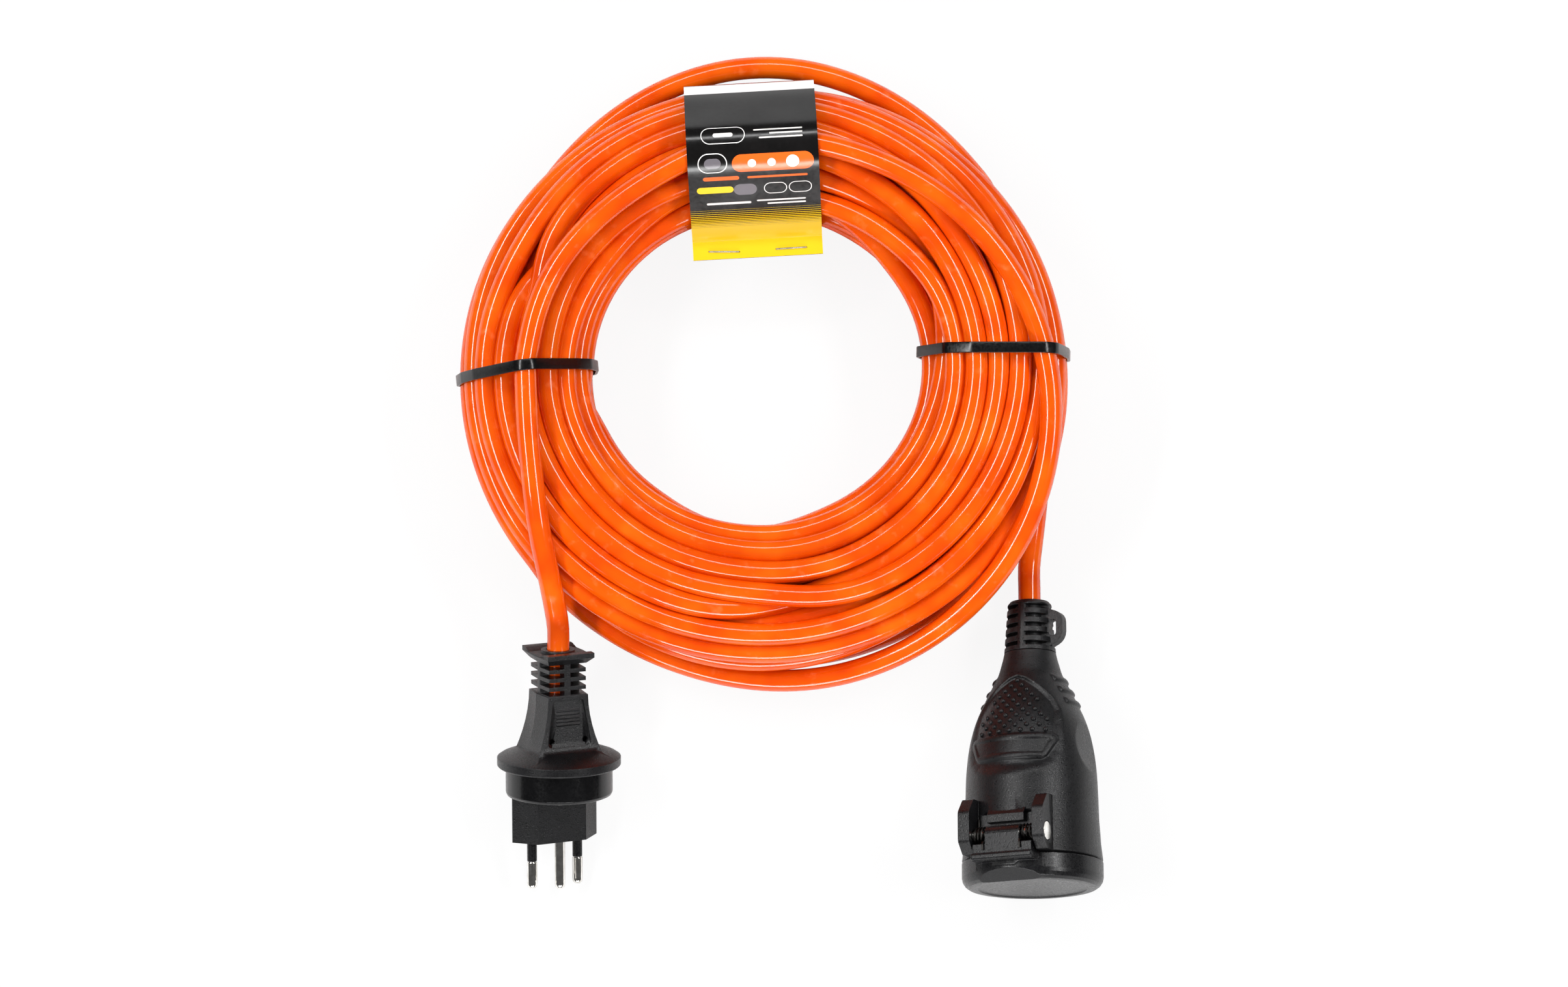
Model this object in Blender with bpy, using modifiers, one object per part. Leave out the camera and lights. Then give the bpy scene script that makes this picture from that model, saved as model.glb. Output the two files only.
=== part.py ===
"""Outdoor extension cord: a tied coil of round cable with a three-pin plug and a covered coupling.

Metres, +Z up, lying on a table at z = 0. The origin is under the middle of the coupling, X runs from the
plug to the coupling and Y from the coupling to the coil. The coupling and the plug are each built in a frame
of their own, which an empty carries: X is the front of the piece, Z runs along it away from the cable, and
z = 0 is where the cable enters.
"""

import math

import bmesh
import bpy
import numpy as np
from mathutils import Matrix, Vector

# ---------------------------------------------------------------- driving dimensions, in metres

GAP = 0.0003  # between pieces that touch on the real object

# Cable
CABLE_R = 0.0043
CORE_WIRE_R = 0.00145
CORE_WIRE_SPREAD = 0.0022
BORE_R = CABLE_R + GAP

# Coil: its middle on the table, and the bundle's sizes at the right, top, left and bottom of the coil
COIL_MIDDLE = (-0.1015, 0.1460)
BUNDLE_INNER = (0.0607, 0.0590, 0.0660, 0.0574)
BUNDLE_OUTER = (0.1172, 0.1100, 0.1172, 0.1170)
BUNDLE_HALF_HEIGHT = (0.0260, 0.0275, 0.0252, 0.0250)
BUNDLE_LIFT = (0.0021, 0.0014, 0.0021, 0.0001)
BUNDLE_SQUARENESS = 2.3
STATIONS = 24
TURN_GAP = 0.00085
TURN_SPACING = 2 * CABLE_R + TURN_GAP
COIL_START_DEG = -15.0
COIL_START_PHASE = -0.06
LAYER_PART_TURN = 0.667
CLIMB_DEG = 60.0
CROSSING_START_DEG = 22.0
CROSSING_END_DEG = 215.0
COIL_END_DEG = 150.0
TOP_PHASE = 0.25
OVER_LAYER = 2 * CABLE_R + 0.0008
STAND_OFF = 2 * CABLE_R + 0.0028
STAND_OFF_HALF_DEG = 72.0

# Cable ties and card label
TIE_WIDTH = 0.0045
TIE_THICK = 0.0012
TIE_CLEARANCE = 0.0006
TIE_LEFT_DEG = 181.0
TIE_RIGHT_DEG = 3.8
TIE_SLANT_DEG = 5.0
LABEL_DEG = 93.2
LABEL_WIDTH = 0.0500
LABEL_THICK = 0.00035
LABEL_CLEARANCE = 0.0007
LABEL_FLAP_RADIUS = 0.0430
LABEL_CLAMP_RADIUS = 0.0500
LABEL_FLAP_HEIGHT = 0.0300

# Coupling: stations along it are measured from the cable's mouth
COUPLING_MOUTH = (0.0011, 0.0566, 0.01347)
COUPLING_PITCH_DEG = 10.0
COUPLING_ROLL_DEG = 25.4
RELIEF_LENGTH = 0.0200
RELIEF_MOUTH_R = 0.0085
RELIEF_BASE_R = 0.0100
RELIEF_RIM = (0.0010, 0.0012)  # its chamfer: in, along
RELIEF_SPIGOT_WALL = 0.0020
RELIEF_SPIGOT_R = BORE_R + RELIEF_SPIGOT_WALL
RELIEF_SPIGOT_LENGTH = 0.0080
RELIEF_ROWS = 5
RELIEF_PITCH = 0.0037
RELIEF_SLOT = 0.0017
RELIEF_INNER_WALL = 0.0009
RELIEF_WEB = 0.0024
RELIEF_LAST_FIN = 0.0016
EYELET_START = 0.0030
EYELET_LENGTH = 0.0160
EYELET_REACH = 0.0144
EYELET_THICK = 0.0040
EYELET_SLOT = (0.0030, 0.0064)
EYELET_WALL = 0.0027
EYELET_ROOT = 0.0075
EYELET_SHOULDERS = (0.0025, 0.0035)
EYELET_ROUNDING = (0.0042, 0.0055)
HOUSING_END = 0.1020
HOUSING_R = 0.0255
HOUSING_EDGE = 0.0008
BOTTLE_TOP = RELIEF_LENGTH + GAP
BOTTLE = ((BOTTLE_TOP, RELIEF_BASE_R), (0.0230, 0.0106), (0.0290, 0.0124), (0.0340, 0.0149), (0.0390, 0.0174),
          (0.0460, HOUSING_R - 0.0049), (0.0520, HOUSING_R - 0.0029), (0.0590, HOUSING_R - 0.0014),
          (0.0680, HOUSING_R - 0.0004), (0.0780, HOUSING_R), (HOUSING_END - 0.0165, HOUSING_R + 0.0002),
          (HOUSING_END - 0.0070, HOUSING_R + 0.0008), (HOUSING_END, HOUSING_R + 0.0015))
MOUTH_WALL = 0.0039
MOUTH_R = HOUSING_R - MOUTH_WALL
MOUTH_DEPTH = 0.0100
CAVITY_WAIST = (0.0520, 0.0050)  # station, in from the holder's seat
CAVITY_NECK = (0.0360, 0.0085)  # station, radius
RECESS_HALF_OUTLINE = ((0.0000, 0.0308), (0.0035, 0.0318), (0.0062, 0.0335), (0.0090, 0.0355), (0.0120, 0.0382),
                       (0.0148, 0.0412), (0.0172, 0.0455), (0.0188, 0.0510), (0.0197, 0.0580), (0.0196, 0.0630),
                       (0.0180, 0.0670), (0.0145, 0.0700), (0.0080, 0.0718), (0.0000, 0.0722))
RECESS_DEPTH = 0.0013
PLATE_START = 0.0556
PLATE_LENGTH = 0.0100
PLATE_HALF_WIDTH = (0.0180, 0.0152)
PLATE_ROUNDING = (0.0025, 0.0050)
BUMP_ROWS = (1, 2, 3, 4, 5, 4, 5, 6, 7, 6, 7)
BUMP_START = 0.0331
BUMP_PITCH = (0.0044, 0.0021)  # across, along
BUMP_R = (0.0008, 0.0004)
BUMP_HEIGHT = 0.0005
GRIP_STATIONS = (0.0316, 0.0362, 0.0408)
GRIP_HEIGHT = 0.0009
GRIP_HALF_WIDTH = 0.0065
GRIP_FOOT = 0.0016
GRIP_CREST = 0.0006
THUMB_STATION = 0.0588
THUMB_HALF_LENGTH = 0.0100
THUMB_HALF_HEIGHT = 0.0090
THUMB_DEPTH = 0.0014
THUMB_BULGE = 0.0040

# Socket insert and contacts
INSERT_DEPTH = 0.0360
INSERT_REAR = HOUSING_END - INSERT_DEPTH
POLE_OFFSET = 0.0095
EARTH_OFFSET = 0.0050
PLUG_PIN_R = 0.0020
NOSE_WALL = 0.0007
NOSE_HALF_WIDTH = 0.0177
NOSE_HALF_HEIGHT = EARTH_OFFSET + PLUG_PIN_R + NOSE_WALL
NOSE_SHIFT = -EARTH_OFFSET  # this puts the earth pin on the axis
NOSE_LENGTH = 0.0185
NOSE_CLEARANCE = 0.0003
CONTACT_PLAY = 0.0001
CONTACT_WALL = 0.0008
CONTACT_BORE_R = PLUG_PIN_R + CONTACT_PLAY
CONTACT_R = CONTACT_BORE_R + CONTACT_WALL
CONTACT_FLOOR = 0.0025
CONTACT_LENGTH = 0.0195
CONTACT_TAIL = 0.0040
CONTACT_EDGE = 0.0006
HOLDER_BEHIND = 0.0077
HOLDER_START = INSERT_REAR - HOLDER_BEHIND
HOLDER_THICK = 0.0045
HOLDER_SEAT_STEP = 0.0021
HOLDER_SEAT_R = MOUTH_R - HOLDER_SEAT_STEP
HOLDER_SEAT_LEDGE = 0.0040
CORE_STRAIGHT = 0.0040
SHEATH_END = 0.0275

# Hinge and lid
PIN_R = 0.0020
PIN_HEAD_OVER = 0.0015
PIN_HEAD_R = PIN_R + PIN_HEAD_OVER
PIN_HEAD_THICK = 0.0012
HINGE_RISE = 0.0015
HINGE_OUT = HOUSING_R + HINGE_RISE
HINGE_SETBACK = 0.0070
HINGE_STATION = HOUSING_END - HINGE_SETBACK
SPRING_WIRE_R = 0.00045
SPRING_PLAY = 0.00055
SPRING_R = PIN_R + SPRING_WIRE_R + SPRING_PLAY
SPRING_FLOOR_GAP = 0.00035
SPRING_TURNS = 3.25
SPRING_PITCH = 0.00135
SPRING_LEG = (0.0068, 0.0034)  # its straight leg's two ends, back from the pin
SPRING_HOOK = 0.0012
SPRING_ROOM_GAP = 0.0006
EAR_GAP = 0.0257
EAR_THICK = 0.0046
EAR_ROOT = HOUSING_R - 0.0040
EAR_RISE = 0.0045
EAR_TOP = HINGE_OUT + EAR_RISE
EAR_LENGTH = 0.0213
EAR_END = HOUSING_END - 0.0002
EAR_START = EAR_END - EAR_LENGTH
EAR_SHOULDERS = ((0.0013, 0.0055), (0.0017, 0.0045))  # out from the housing, along
EAR_ROUNDING = (0.0020, 0.0030, 0.0010)
POCKET_FLOOR = HINGE_OUT - SPRING_R - SPRING_WIRE_R - SPRING_FLOOR_GAP
POCKET_BEHIND = 0.0085
POCKET_START = HINGE_STATION - POCKET_BEHIND
STOP_HALF_WIDTH = 0.0075
STOP_RISE = -0.0005
STOP_TOP = HINGE_OUT + STOP_RISE
STOP_LENGTH = 0.0037
STOP_END = POCKET_START + STOP_LENGTH
STOP_RAMP = 0.0020
KNUCKLE_WALL = 0.0010
KNUCKLE_R = PIN_R + GAP + KNUCKLE_WALL
KNUCKLE_END_GAP = 0.00085
KNUCKLE_HALF_WIDTH = EAR_GAP / 2 - KNUCKLE_END_GAP
KNUCKLE_FLOOR_GAP = 0.0007
KNUCKLE_FLOOR = POCKET_FLOOR + KNUCKLE_FLOOR_GAP
KNUCKLE_ROOT = 0.0030
SPRING_START = 0.0001 - KNUCKLE_HALF_WIDTH
BARREL_HALF_WIDTH = -SPRING_START - SPRING_TURNS * SPRING_PITCH - SPRING_ROOM_GAP
LID_OVERHANG = 0.0016
LID_R = HOUSING_R + LID_OVERHANG
LID_HEIGHT = 0.0100
LID_END = HOUSING_END + LID_HEIGHT
LID_EDGE = 0.0042
LID_RIM = 0.0066
LID_DISC_R = LID_R - LID_RIM
LID_DISC_DEPTH = 0.0004
LID_DISC_CHAMFER = 0.0005
LID_WALL = 0.0020
LID_SEAT = 0.0033
LID_ROOF = 0.0027
LIP_END_GAP = 0.00015
LIP_HALF_WIDTH = EAR_GAP / 2 - LIP_END_GAP
LIP_RISE = 0.0043
LIP_TOP = HINGE_OUT + LIP_RISE
LIP_THICK = 0.0026
LIP_EDGE = 0.0008
GASKET_INNER_R = MOUTH_R - 0.0011
GASKET_OUTER_R = MOUTH_R + 0.0018
GASKET_EDGE = (0.0005, 0.0004)

# Plug: stations along it are measured from the top of its collar
PLUG_MOUTH = (-0.1805, 0.0380, 0.03410)
PLUG_PITCH_DEG = 14.0
PLUG_ROLL_DEG = 25.4
COLLAR_HALF = (0.0128, 0.0096)
COLLAR_RIM = 0.0018
COLLAR_DISH = (0.0012, 0.0036)  # its depth, and how far in from the rim it starts
GROMMET_R = 0.0066
PLUG_NECK_HALF = (0.0090, 0.0076)
PLUG_NECK_START = 0.0045
PLUG_ROWS = 4
PLUG_ROW_PITCH = 0.0034
PLUG_SLOT = 0.0019
PLUG_WEB = 0.0025
PLUG_BODY_START = 0.0166
PLUG_BODY_END = 0.0405
PLUG_TOP_HALF = (0.0096, 0.0082)
PLUG_FOOT_HALF = (0.0112, 0.0137)
PLUG_SEAM_BULGE = (0.0012, 0.0003)
PLUG_FLARE = 1.9
RING_MOUTH_GAP = 0.0010  # to the coupling's mouth when plugged in
RING_R = MOUTH_R - RING_MOUTH_GAP
RING_NOSE_GAP = 0.0011
RING_INNER_R = NOSE_HALF_WIDTH + RING_NOSE_GAP
RING_LENGTH = 0.0115
RING_EDGE = 0.0015
FLANGE_OVER = 0.0032
FLANGE_R = RING_R + FLANGE_OVER
FLANGE_TOP_R = 0.0150
FLANGE_CONE_START = PLUG_BODY_END - 0.0020
FLANGE_CONE_LENGTH = 0.0036
FLANGE_EDGE_START = FLANGE_CONE_START + FLANGE_CONE_LENGTH
FLANGE_THICK = 0.0034
FLANGE_END = FLANGE_EDGE_START + FLANGE_THICK
FLANGE_EDGES = (0.0012, 0.0008, 0.0005)  # the shoulder's inset and drop, the foot's chamfer
RING_END = FLANGE_END + RING_LENGTH
PLUG_SHEATH_END = 0.0300
PLUG_PIN_LENGTH = 0.0190
PLUG_PIN_SEAT = 0.0025
PLUG_PIN_ROOT = FLANGE_END + PLUG_PIN_SEAT
PLUG_PIN_NECK = 0.00075
PLUG_PIN_NECK_R = PLUG_PIN_R - PLUG_PIN_NECK
SLEEVE_STEP = 0.0001
SLEEVE_R = PLUG_PIN_R - SLEEVE_STEP
SLEEVE_OUT = 0.0086
SLEEVE_IN = 0.0080
SLEEVE_END_GAP = 0.0006
PANEL_HALF_WIDTH = (0.0062, 0.0092)
PANEL_START = 0.0182
PANEL_END = 0.0364
PANEL_DEPTH = 0.0010
PANEL_RIDGES = 5
PANEL_RIDGE_PITCH = 0.00135
PANEL_RIDGE_START = 0.0042
PANEL_RIDGE_R = 0.0005
PANEL_RIDGE_RISE = 0.0005
PANEL_RIDGE_HALF = 0.0048
PANEL_ROUNDING = (0.0008, 0.0020)
PANEL_HOLE_R = 0.0012
PANEL_HOLE_ACROSS = 0.0069
PANEL_HOLE_FROM_END = 0.0024
PANEL_HOLE_DEPTH = 0.0040

# Hand-chosen route points of the two free stretches, between what the coil and the mouths give
PLUG_TAIL = ((-0.1917, 0.1685, 0.0595), (-0.1925, 0.1550, 0.0597), (-0.1921, 0.1380, 0.0592),
             (-0.1912, 0.1200, 0.0584), (-0.1893, 0.1000, 0.0567), (-0.1874, 0.0850, 0.0539),
             (-0.1850, 0.0720, 0.0495), (-0.1826, 0.0600, 0.0437))
COUPLING_TAIL = ((0.0045, 0.0900, 0.0168), (0.0026, 0.0800, 0.0139), (0.0011, 0.0720, 0.0123))

TURNED_STEPS = 48

# ---------------------------------------------------------------- scene and helpers

for old in list(bpy.data.objects):
    bpy.data.objects.remove(old, do_unlink=True)

PARTS = bpy.data.collections.new("extension_cord")
CUTTERS = bpy.data.collections.new("cutters")
for made in (PARTS, CUTTERS):
    bpy.context.scene.collection.children.link(made)


def material(name, colour, roughness, metallic=0.0):
    made = bpy.data.materials.new(name)
    made.use_nodes = True
    shader = made.node_tree.nodes["Principled BSDF"]
    shader.inputs["Base Color"].default_value = (*colour, 1.0)
    shader.inputs["Roughness"].default_value = roughness
    shader.inputs["Metallic"].default_value = metallic
    made.diffuse_color = (*colour, 1.0)
    return made


def empty_frame(name, matrix):
    frame = bpy.data.objects.new(name, None)
    frame.empty_display_size = 0.01
    frame.matrix_world = matrix
    PARTS.objects.link(frame)
    return frame


def object_from(name, bm, smooth=True):
    """An object in the cutters' collection, until finish() makes it a part."""
    bmesh.ops.recalc_face_normals(bm, faces=bm.faces)
    mesh = bpy.data.meshes.new(name)
    bm.to_mesh(mesh)
    bm.free()
    if smooth:
        mesh.shade_smooth()
        mesh.set_sharp_from_angle(angle=math.radians(35))
    made = bpy.data.objects.new(name, mesh)
    CUTTERS.objects.link(made)
    return made


def turned(name, profile, steps=TURNED_STEPS):
    """A solid turned about Z from (radius, height) points that run from top to bottom."""
    mesh = bpy.data.meshes.new(name)
    points = [(radius, 0.0, height) for radius, height in profile]
    closed = profile[0][0] > 0 and profile[-1][0] > 0
    edges = [(i, i + 1) for i in range(len(points) - 1)]
    if closed:
        edges.append((len(points) - 1, 0))
    mesh.from_pydata(points, edges, [])
    made = bpy.data.objects.new(name, mesh)
    CUTTERS.objects.link(made)
    screw = made.modifiers.new("turn", "SCREW")
    screw.axis = "Z"
    screw.angle = math.tau
    screw.steps = steps
    screw.render_steps = steps
    screw.use_merge_vertices = True
    screw.merge_threshold = 0.00001
    return made


def block(name, low, high, bevel=0.0):
    bm = bmesh.new()
    bmesh.ops.create_cube(bm, size=1.0)
    low, high = Vector(low), Vector(high)
    for vertex in bm.verts:
        vertex.co = Vector(((vertex.co[i] + 0.5) * (high[i] - low[i]) + low[i]) for i in range(3))
    if bevel:
        bmesh.ops.bevel(bm, geom=bm.edges, offset=bevel, segments=2, profile=0.5, affect="EDGES")
    return object_from(name, bm, smooth=False)


def rod(name, radius, start, end, sides=24):
    start, end = Vector(start), Vector(end)
    bm = bmesh.new()
    bmesh.ops.create_cone(
        bm, cap_ends=True, segments=sides, radius1=radius, radius2=radius, depth=(end - start).length
    )
    turn = Vector((0, 0, 1)).rotation_difference(end - start).to_matrix().to_4x4()
    bmesh.ops.transform(bm, matrix=Matrix.Translation((start + end) / 2) @ turn, verts=bm.verts)
    return object_from(name, bm)


def prism(name, outline, near, far, along="Y"):
    """A flat outline of (across, height) points carried from near to far along X or Y."""
    bm = bmesh.new()
    place = (lambda a, h, d: (a, d, h)) if along == "Y" else (lambda a, h, d: (d, a, h))
    lower = [bm.verts.new(place(a, h, near)) for a, h in outline]
    face = bm.faces.new(lower)
    extruded = bmesh.ops.extrude_face_region(bm, geom=[face])["geom"]
    shift = place(0.0, 0.0, far - near)
    moved = [item for item in extruded if isinstance(item, bmesh.types.BMVert)]
    bmesh.ops.translate(bm, vec=shift, verts=moved)
    return object_from(name, bm, smooth=False)


def rounded(corners, radii, steps=4):
    """A closed outline with an arc of the given radius at each corner."""
    outline = []
    count = len(corners)
    for i, corner in enumerate(corners):
        here = Vector(corner)
        back = (Vector(corners[i - 1]) - here).normalized()
        ahead = (Vector(corners[(i + 1) % count]) - here).normalized()
        if radii[i] == 0:
            outline.append(tuple(here))
            continue
        half = back.angle(ahead) / 2
        middle = here + (back + ahead).normalized() * radii[i] / math.sin(half)
        first = here + back * radii[i] / math.tan(half) - middle
        last = here + ahead * radii[i] / math.tan(half) - middle
        turn = math.atan2(first.x * last.y - first.y * last.x, first.dot(last))
        start = math.atan2(first.y, first.x)
        for step in range(steps + 1):
            angle = start + turn * step / steps
            outline.append((middle.x + radii[i] * math.cos(angle), middle.y + radii[i] * math.sin(angle)))
    return outline


def loft(name, rings):
    """Faces between rings of equally many points, closed at both ends."""
    bm = bmesh.new()
    rows = [[bm.verts.new(point) for point in ring] for ring in rings]
    for upper, lower in zip(rows, rows[1:]):
        for i, corner in enumerate(upper):
            bm.faces.new((corner, upper[i - 1], lower[i - 1], lower[i]))
    bm.faces.new(rows[0])
    bm.faces.new(reversed(rows[-1]))
    return object_from(name, bm, smooth=False)


def boolean(target, tool, operation="DIFFERENCE"):
    modifier = target.modifiers.new(tool.name, "BOOLEAN")
    modifier.operation = operation
    modifier.object = tool
    modifier.solver = "EXACT"
    tool.hide_render = True
    tool.display_type = "WIRE"
    return target


def carry(frame, *objects):
    for item in objects:
        item.parent = frame


def finish(item, look, frame=None):
    """Makes an object one of the parts."""
    item.data.materials.append(look)
    if item.name in CUTTERS.objects:
        CUTTERS.objects.unlink(item)
        PARTS.objects.link(item)
    if frame:
        item.parent = frame
    return item


def tube(name, points, radius, resolution, look, frame=None):
    curve = bpy.data.curves.new(name, "CURVE")
    curve.dimensions = "3D"
    curve.bevel_depth = radius
    curve.bevel_resolution = resolution
    curve.use_fill_caps = True
    spline = curve.splines.new("POLY")
    spline.points.add(len(points) - 1)
    for made, point in zip(spline.points, points):
        made.co = (*point, 1.0)
    made = bpy.data.objects.new(name, curve)
    CUTTERS.objects.link(made)
    return finish(made, look, frame)


def smooth_route(points, spacing):
    """Points about this far apart on a smooth curve through the given ones."""
    points = [Vector(point) for point in points]
    ends = [points[0] * 2 - points[1], *points, points[-1] * 2 - points[-2]]
    dense = []
    for a, b, c, d in zip(ends, ends[1:], ends[2:], ends[3:]):
        for step in range(24):
            t = step / 24
            dense.append(
                0.5 * (2 * b + (c - a) * t + (2 * a - 5 * b + 4 * c - d) * t**2 + (3 * b - a - 3 * c + d) * t**3)
            )
    dense.append(points[-1])
    reach = [0.0]
    for a, b in zip(dense, dense[1:]):
        reach.append(reach[-1] + (b - a).length)
    count = max(3, round(reach[-1] / spacing) + 1)
    wanted = np.linspace(0.0, reach[-1], count)
    axes = [np.interp(wanted, reach, [point[i] for point in dense]) for i in range(3)]
    return [Vector(point) for point in zip(*axes)]


def ease(value):
    value = min(max(value, 0.0), 1.0)
    return value * value * (3 - 2 * value)


def hull(points):
    """The convex hull of flat points, counter-clockwise."""
    points = sorted(set(points))
    sides = []
    for ordered in (points, points[::-1]):
        side = []
        for point in ordered:
            while len(side) > 1:
                (ax, ay), (bx, by) = side[-2], side[-1]
                if (bx - ax) * (point[1] - ay) - (by - ay) * (point[0] - ax) > 1e-12:
                    break
                side.pop()
            side.append(point)
        sides += side[:-1]
    return sides


# ---------------------------------------------------------------- materials

CABLE = material("cable_orange", (0.95, 0.14, 0.012), 0.22)
BLACK = material("black_plastic", (0.016, 0.016, 0.017), 0.55)
SATIN_BLACK = material("satin_black_plastic", (0.016, 0.016, 0.017), 0.35)
GLOSS_BLACK = material("gloss_black_plastic", (0.010, 0.010, 0.011), 0.2)
RUBBER = material("black_rubber", (0.02, 0.02, 0.02), 0.7)
NICKEL = material("nickel", (0.78, 0.77, 0.75), 0.15, 1.0)
STEEL = material("bright_steel", (0.62, 0.61, 0.60), 0.3, 1.0)
BRASS = material("brass", (0.72, 0.50, 0.20), 0.3, 1.0)
BROWN = material("core_brown", (0.17, 0.06, 0.025), 0.45)
BLUE = material("core_blue", (0.03, 0.16, 0.55), 0.45)
GREEN_YELLOW = material("core_green_yellow", (0.42, 0.50, 0.03), 0.45)
CARD = material("card_label", (0.03, 0.03, 0.03), 0.35)

# ---------------------------------------------------------------- frames of the coupling and the plug


def laid_frame(mouth, pitch_deg, lean_deg):
    """Z runs toward -Y, raised by the pitch, and X is up, leaning by the given angle toward +X."""
    pitch, lean = math.radians(pitch_deg), math.radians(lean_deg)
    along = Vector((0.0, -math.cos(pitch), math.sin(pitch)))
    up = Vector((0.0, math.sin(pitch), math.cos(pitch)))
    front = up * math.cos(lean) + Vector((math.sin(lean), 0.0, 0.0))
    side = along.cross(front)
    turn = Matrix((front, side, along)).transposed().to_4x4()
    return Matrix.Translation(mouth) @ turn


COUPLING = empty_frame("coupling_frame", laid_frame(COUPLING_MOUTH, COUPLING_PITCH_DEG, -COUPLING_ROLL_DEG))
PLUG = empty_frame("plug_frame", laid_frame(PLUG_MOUTH, -PLUG_PITCH_DEG, PLUG_ROLL_DEG))
HINGE = bpy.data.objects.new("hinge_frame", None)
HINGE.empty_display_size = 0.01
HINGE.parent = COUPLING
HINGE.location = (HINGE_OUT, 0.0, HINGE_STATION)
PARTS.objects.link(HINGE)

# ---------------------------------------------------------------- coupling


def slotted(target, start, rows, pitch, slot, web, reach, frame):
    """Cuts rows of four openings, which leave a cross of webs and a fin between rows."""
    bm = bmesh.new()
    for row in range(rows):
        for side_x in (-1, 1):
            for side_y in (-1, 1):
                made = bmesh.ops.create_cube(bm, size=1.0)["verts"]
                size = (reach - web / 2, reach - web / 2, slot)
                middle = (
                    side_x * (reach + web / 2) / 2,
                    side_y * (reach + web / 2) / 2,
                    start + row * pitch + slot / 2,
                )
                bmesh.ops.scale(bm, vec=size, verts=made)
                bmesh.ops.translate(bm, vec=middle, verts=made)
    cutter = object_from(target.name + "_slots", bm, smooth=False)
    boolean(target, cutter)
    carry(frame, cutter)


def strain_relief():
    spigot_end = RELIEF_LENGTH + RELIEF_SPIGOT_LENGTH
    body = turned(
        "coupling_strain_relief",
        [(0.0, spigot_end), (RELIEF_SPIGOT_R, spigot_end), (RELIEF_SPIGOT_R, RELIEF_LENGTH),
         (RELIEF_BASE_R, RELIEF_LENGTH), (RELIEF_MOUTH_R, RELIEF_RIM[1]), (RELIEF_MOUTH_R - RELIEF_RIM[0], 0.0),
         (0.0, 0.0)],
        32,
    )
    middle = EYELET_START + EYELET_LENGTH / 2
    eyelet_end = EYELET_START + EYELET_LENGTH
    ring = prism(
        "eyelet_ring",
        rounded(
            [(-EYELET_ROOT, EYELET_START), (-EYELET_REACH, EYELET_START + EYELET_SHOULDERS[0]),
             (-EYELET_REACH, eyelet_end - EYELET_SHOULDERS[1]), (-EYELET_ROOT, eyelet_end)],
            [0, *EYELET_ROUNDING, 0],
        ),
        -EYELET_THICK / 2, EYELET_THICK / 2, "X",
    )
    wide, tall = EYELET_SLOT
    across = -EYELET_REACH + EYELET_WALL + wide / 2
    hole = prism(
        "eyelet_hole",
        rounded(
            [(across - wide / 2, middle - tall / 2), (across + wide / 2, middle - tall / 2),
             (across + wide / 2, middle + tall / 2), (across - wide / 2, middle + tall / 2)],
            [wide * 0.45] * 4,
        ),
        -EYELET_THICK, EYELET_THICK, "X",
    )
    bore = rod("relief_bore", BORE_R, (0, 0, -0.001), (0, 0, spigot_end + 0.001))
    first_row = RELIEF_LENGTH - (RELIEF_ROWS - 1) * RELIEF_PITCH - RELIEF_SLOT - RELIEF_LAST_FIN
    slotted(body, first_row, RELIEF_ROWS, RELIEF_PITCH, RELIEF_SLOT, RELIEF_WEB, RELIEF_BASE_R + 0.002,
            COUPLING)
    inner = rod("relief_inner_wall", BORE_R + RELIEF_INNER_WALL, (0, 0, RELIEF_RIM[1]), (0, 0, RELIEF_LENGTH))
    boolean(body, inner, "UNION")
    boolean(body, ring, "UNION")
    boolean(body, hole)
    boolean(body, bore)
    carry(COUPLING, inner, ring, hole, bore)
    return finish(body, BLACK, COUPLING)


def bottle_profile(offset=0.0):
    """The housing's outer outline, top to bottom, moved out by the offset."""
    end_r = BOTTLE[-1][1] + offset
    top = [(0.0, HOUSING_END), (end_r - HOUSING_EDGE, HOUSING_END), (end_r, HOUSING_END - HOUSING_EDGE)]
    side = [(radius + offset, station) for station, radius in reversed(BOTTLE[:-1])]
    return top + side + [(0.0, BOTTLE[0][0])]


def grip_bumps():
    """Low cones in staggered rows, standing on the recess's floor."""
    bm = bmesh.new()
    across, along = BUMP_PITCH
    for row, bumps in enumerate(BUMP_ROWS):
        station = BUMP_START + row * along
        floor_r = float(np.interp(station, *zip(*BOTTLE))) - RECESS_DEPTH
        for place in range(bumps):
            aside = (place - (bumps - 1) / 2) * across
            turn = math.asin(aside / floor_r)
            made = bmesh.ops.create_cone(
                bm, cap_ends=True, segments=6, radius1=BUMP_R[0], radius2=BUMP_R[1], depth=2 * BUMP_HEIGHT
            )["verts"]
            outward = Matrix.Rotation(turn, 4, "Z") @ Matrix.Rotation(math.pi / 2, 4, "Y")
            bmesh.ops.transform(bm, matrix=outward, verts=made)
            middle = (floor_r * math.cos(turn), floor_r * math.sin(turn), station)
            bmesh.ops.translate(bm, vec=middle, verts=made)
    return object_from("grip_bumps", bm, smooth=False)


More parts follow.
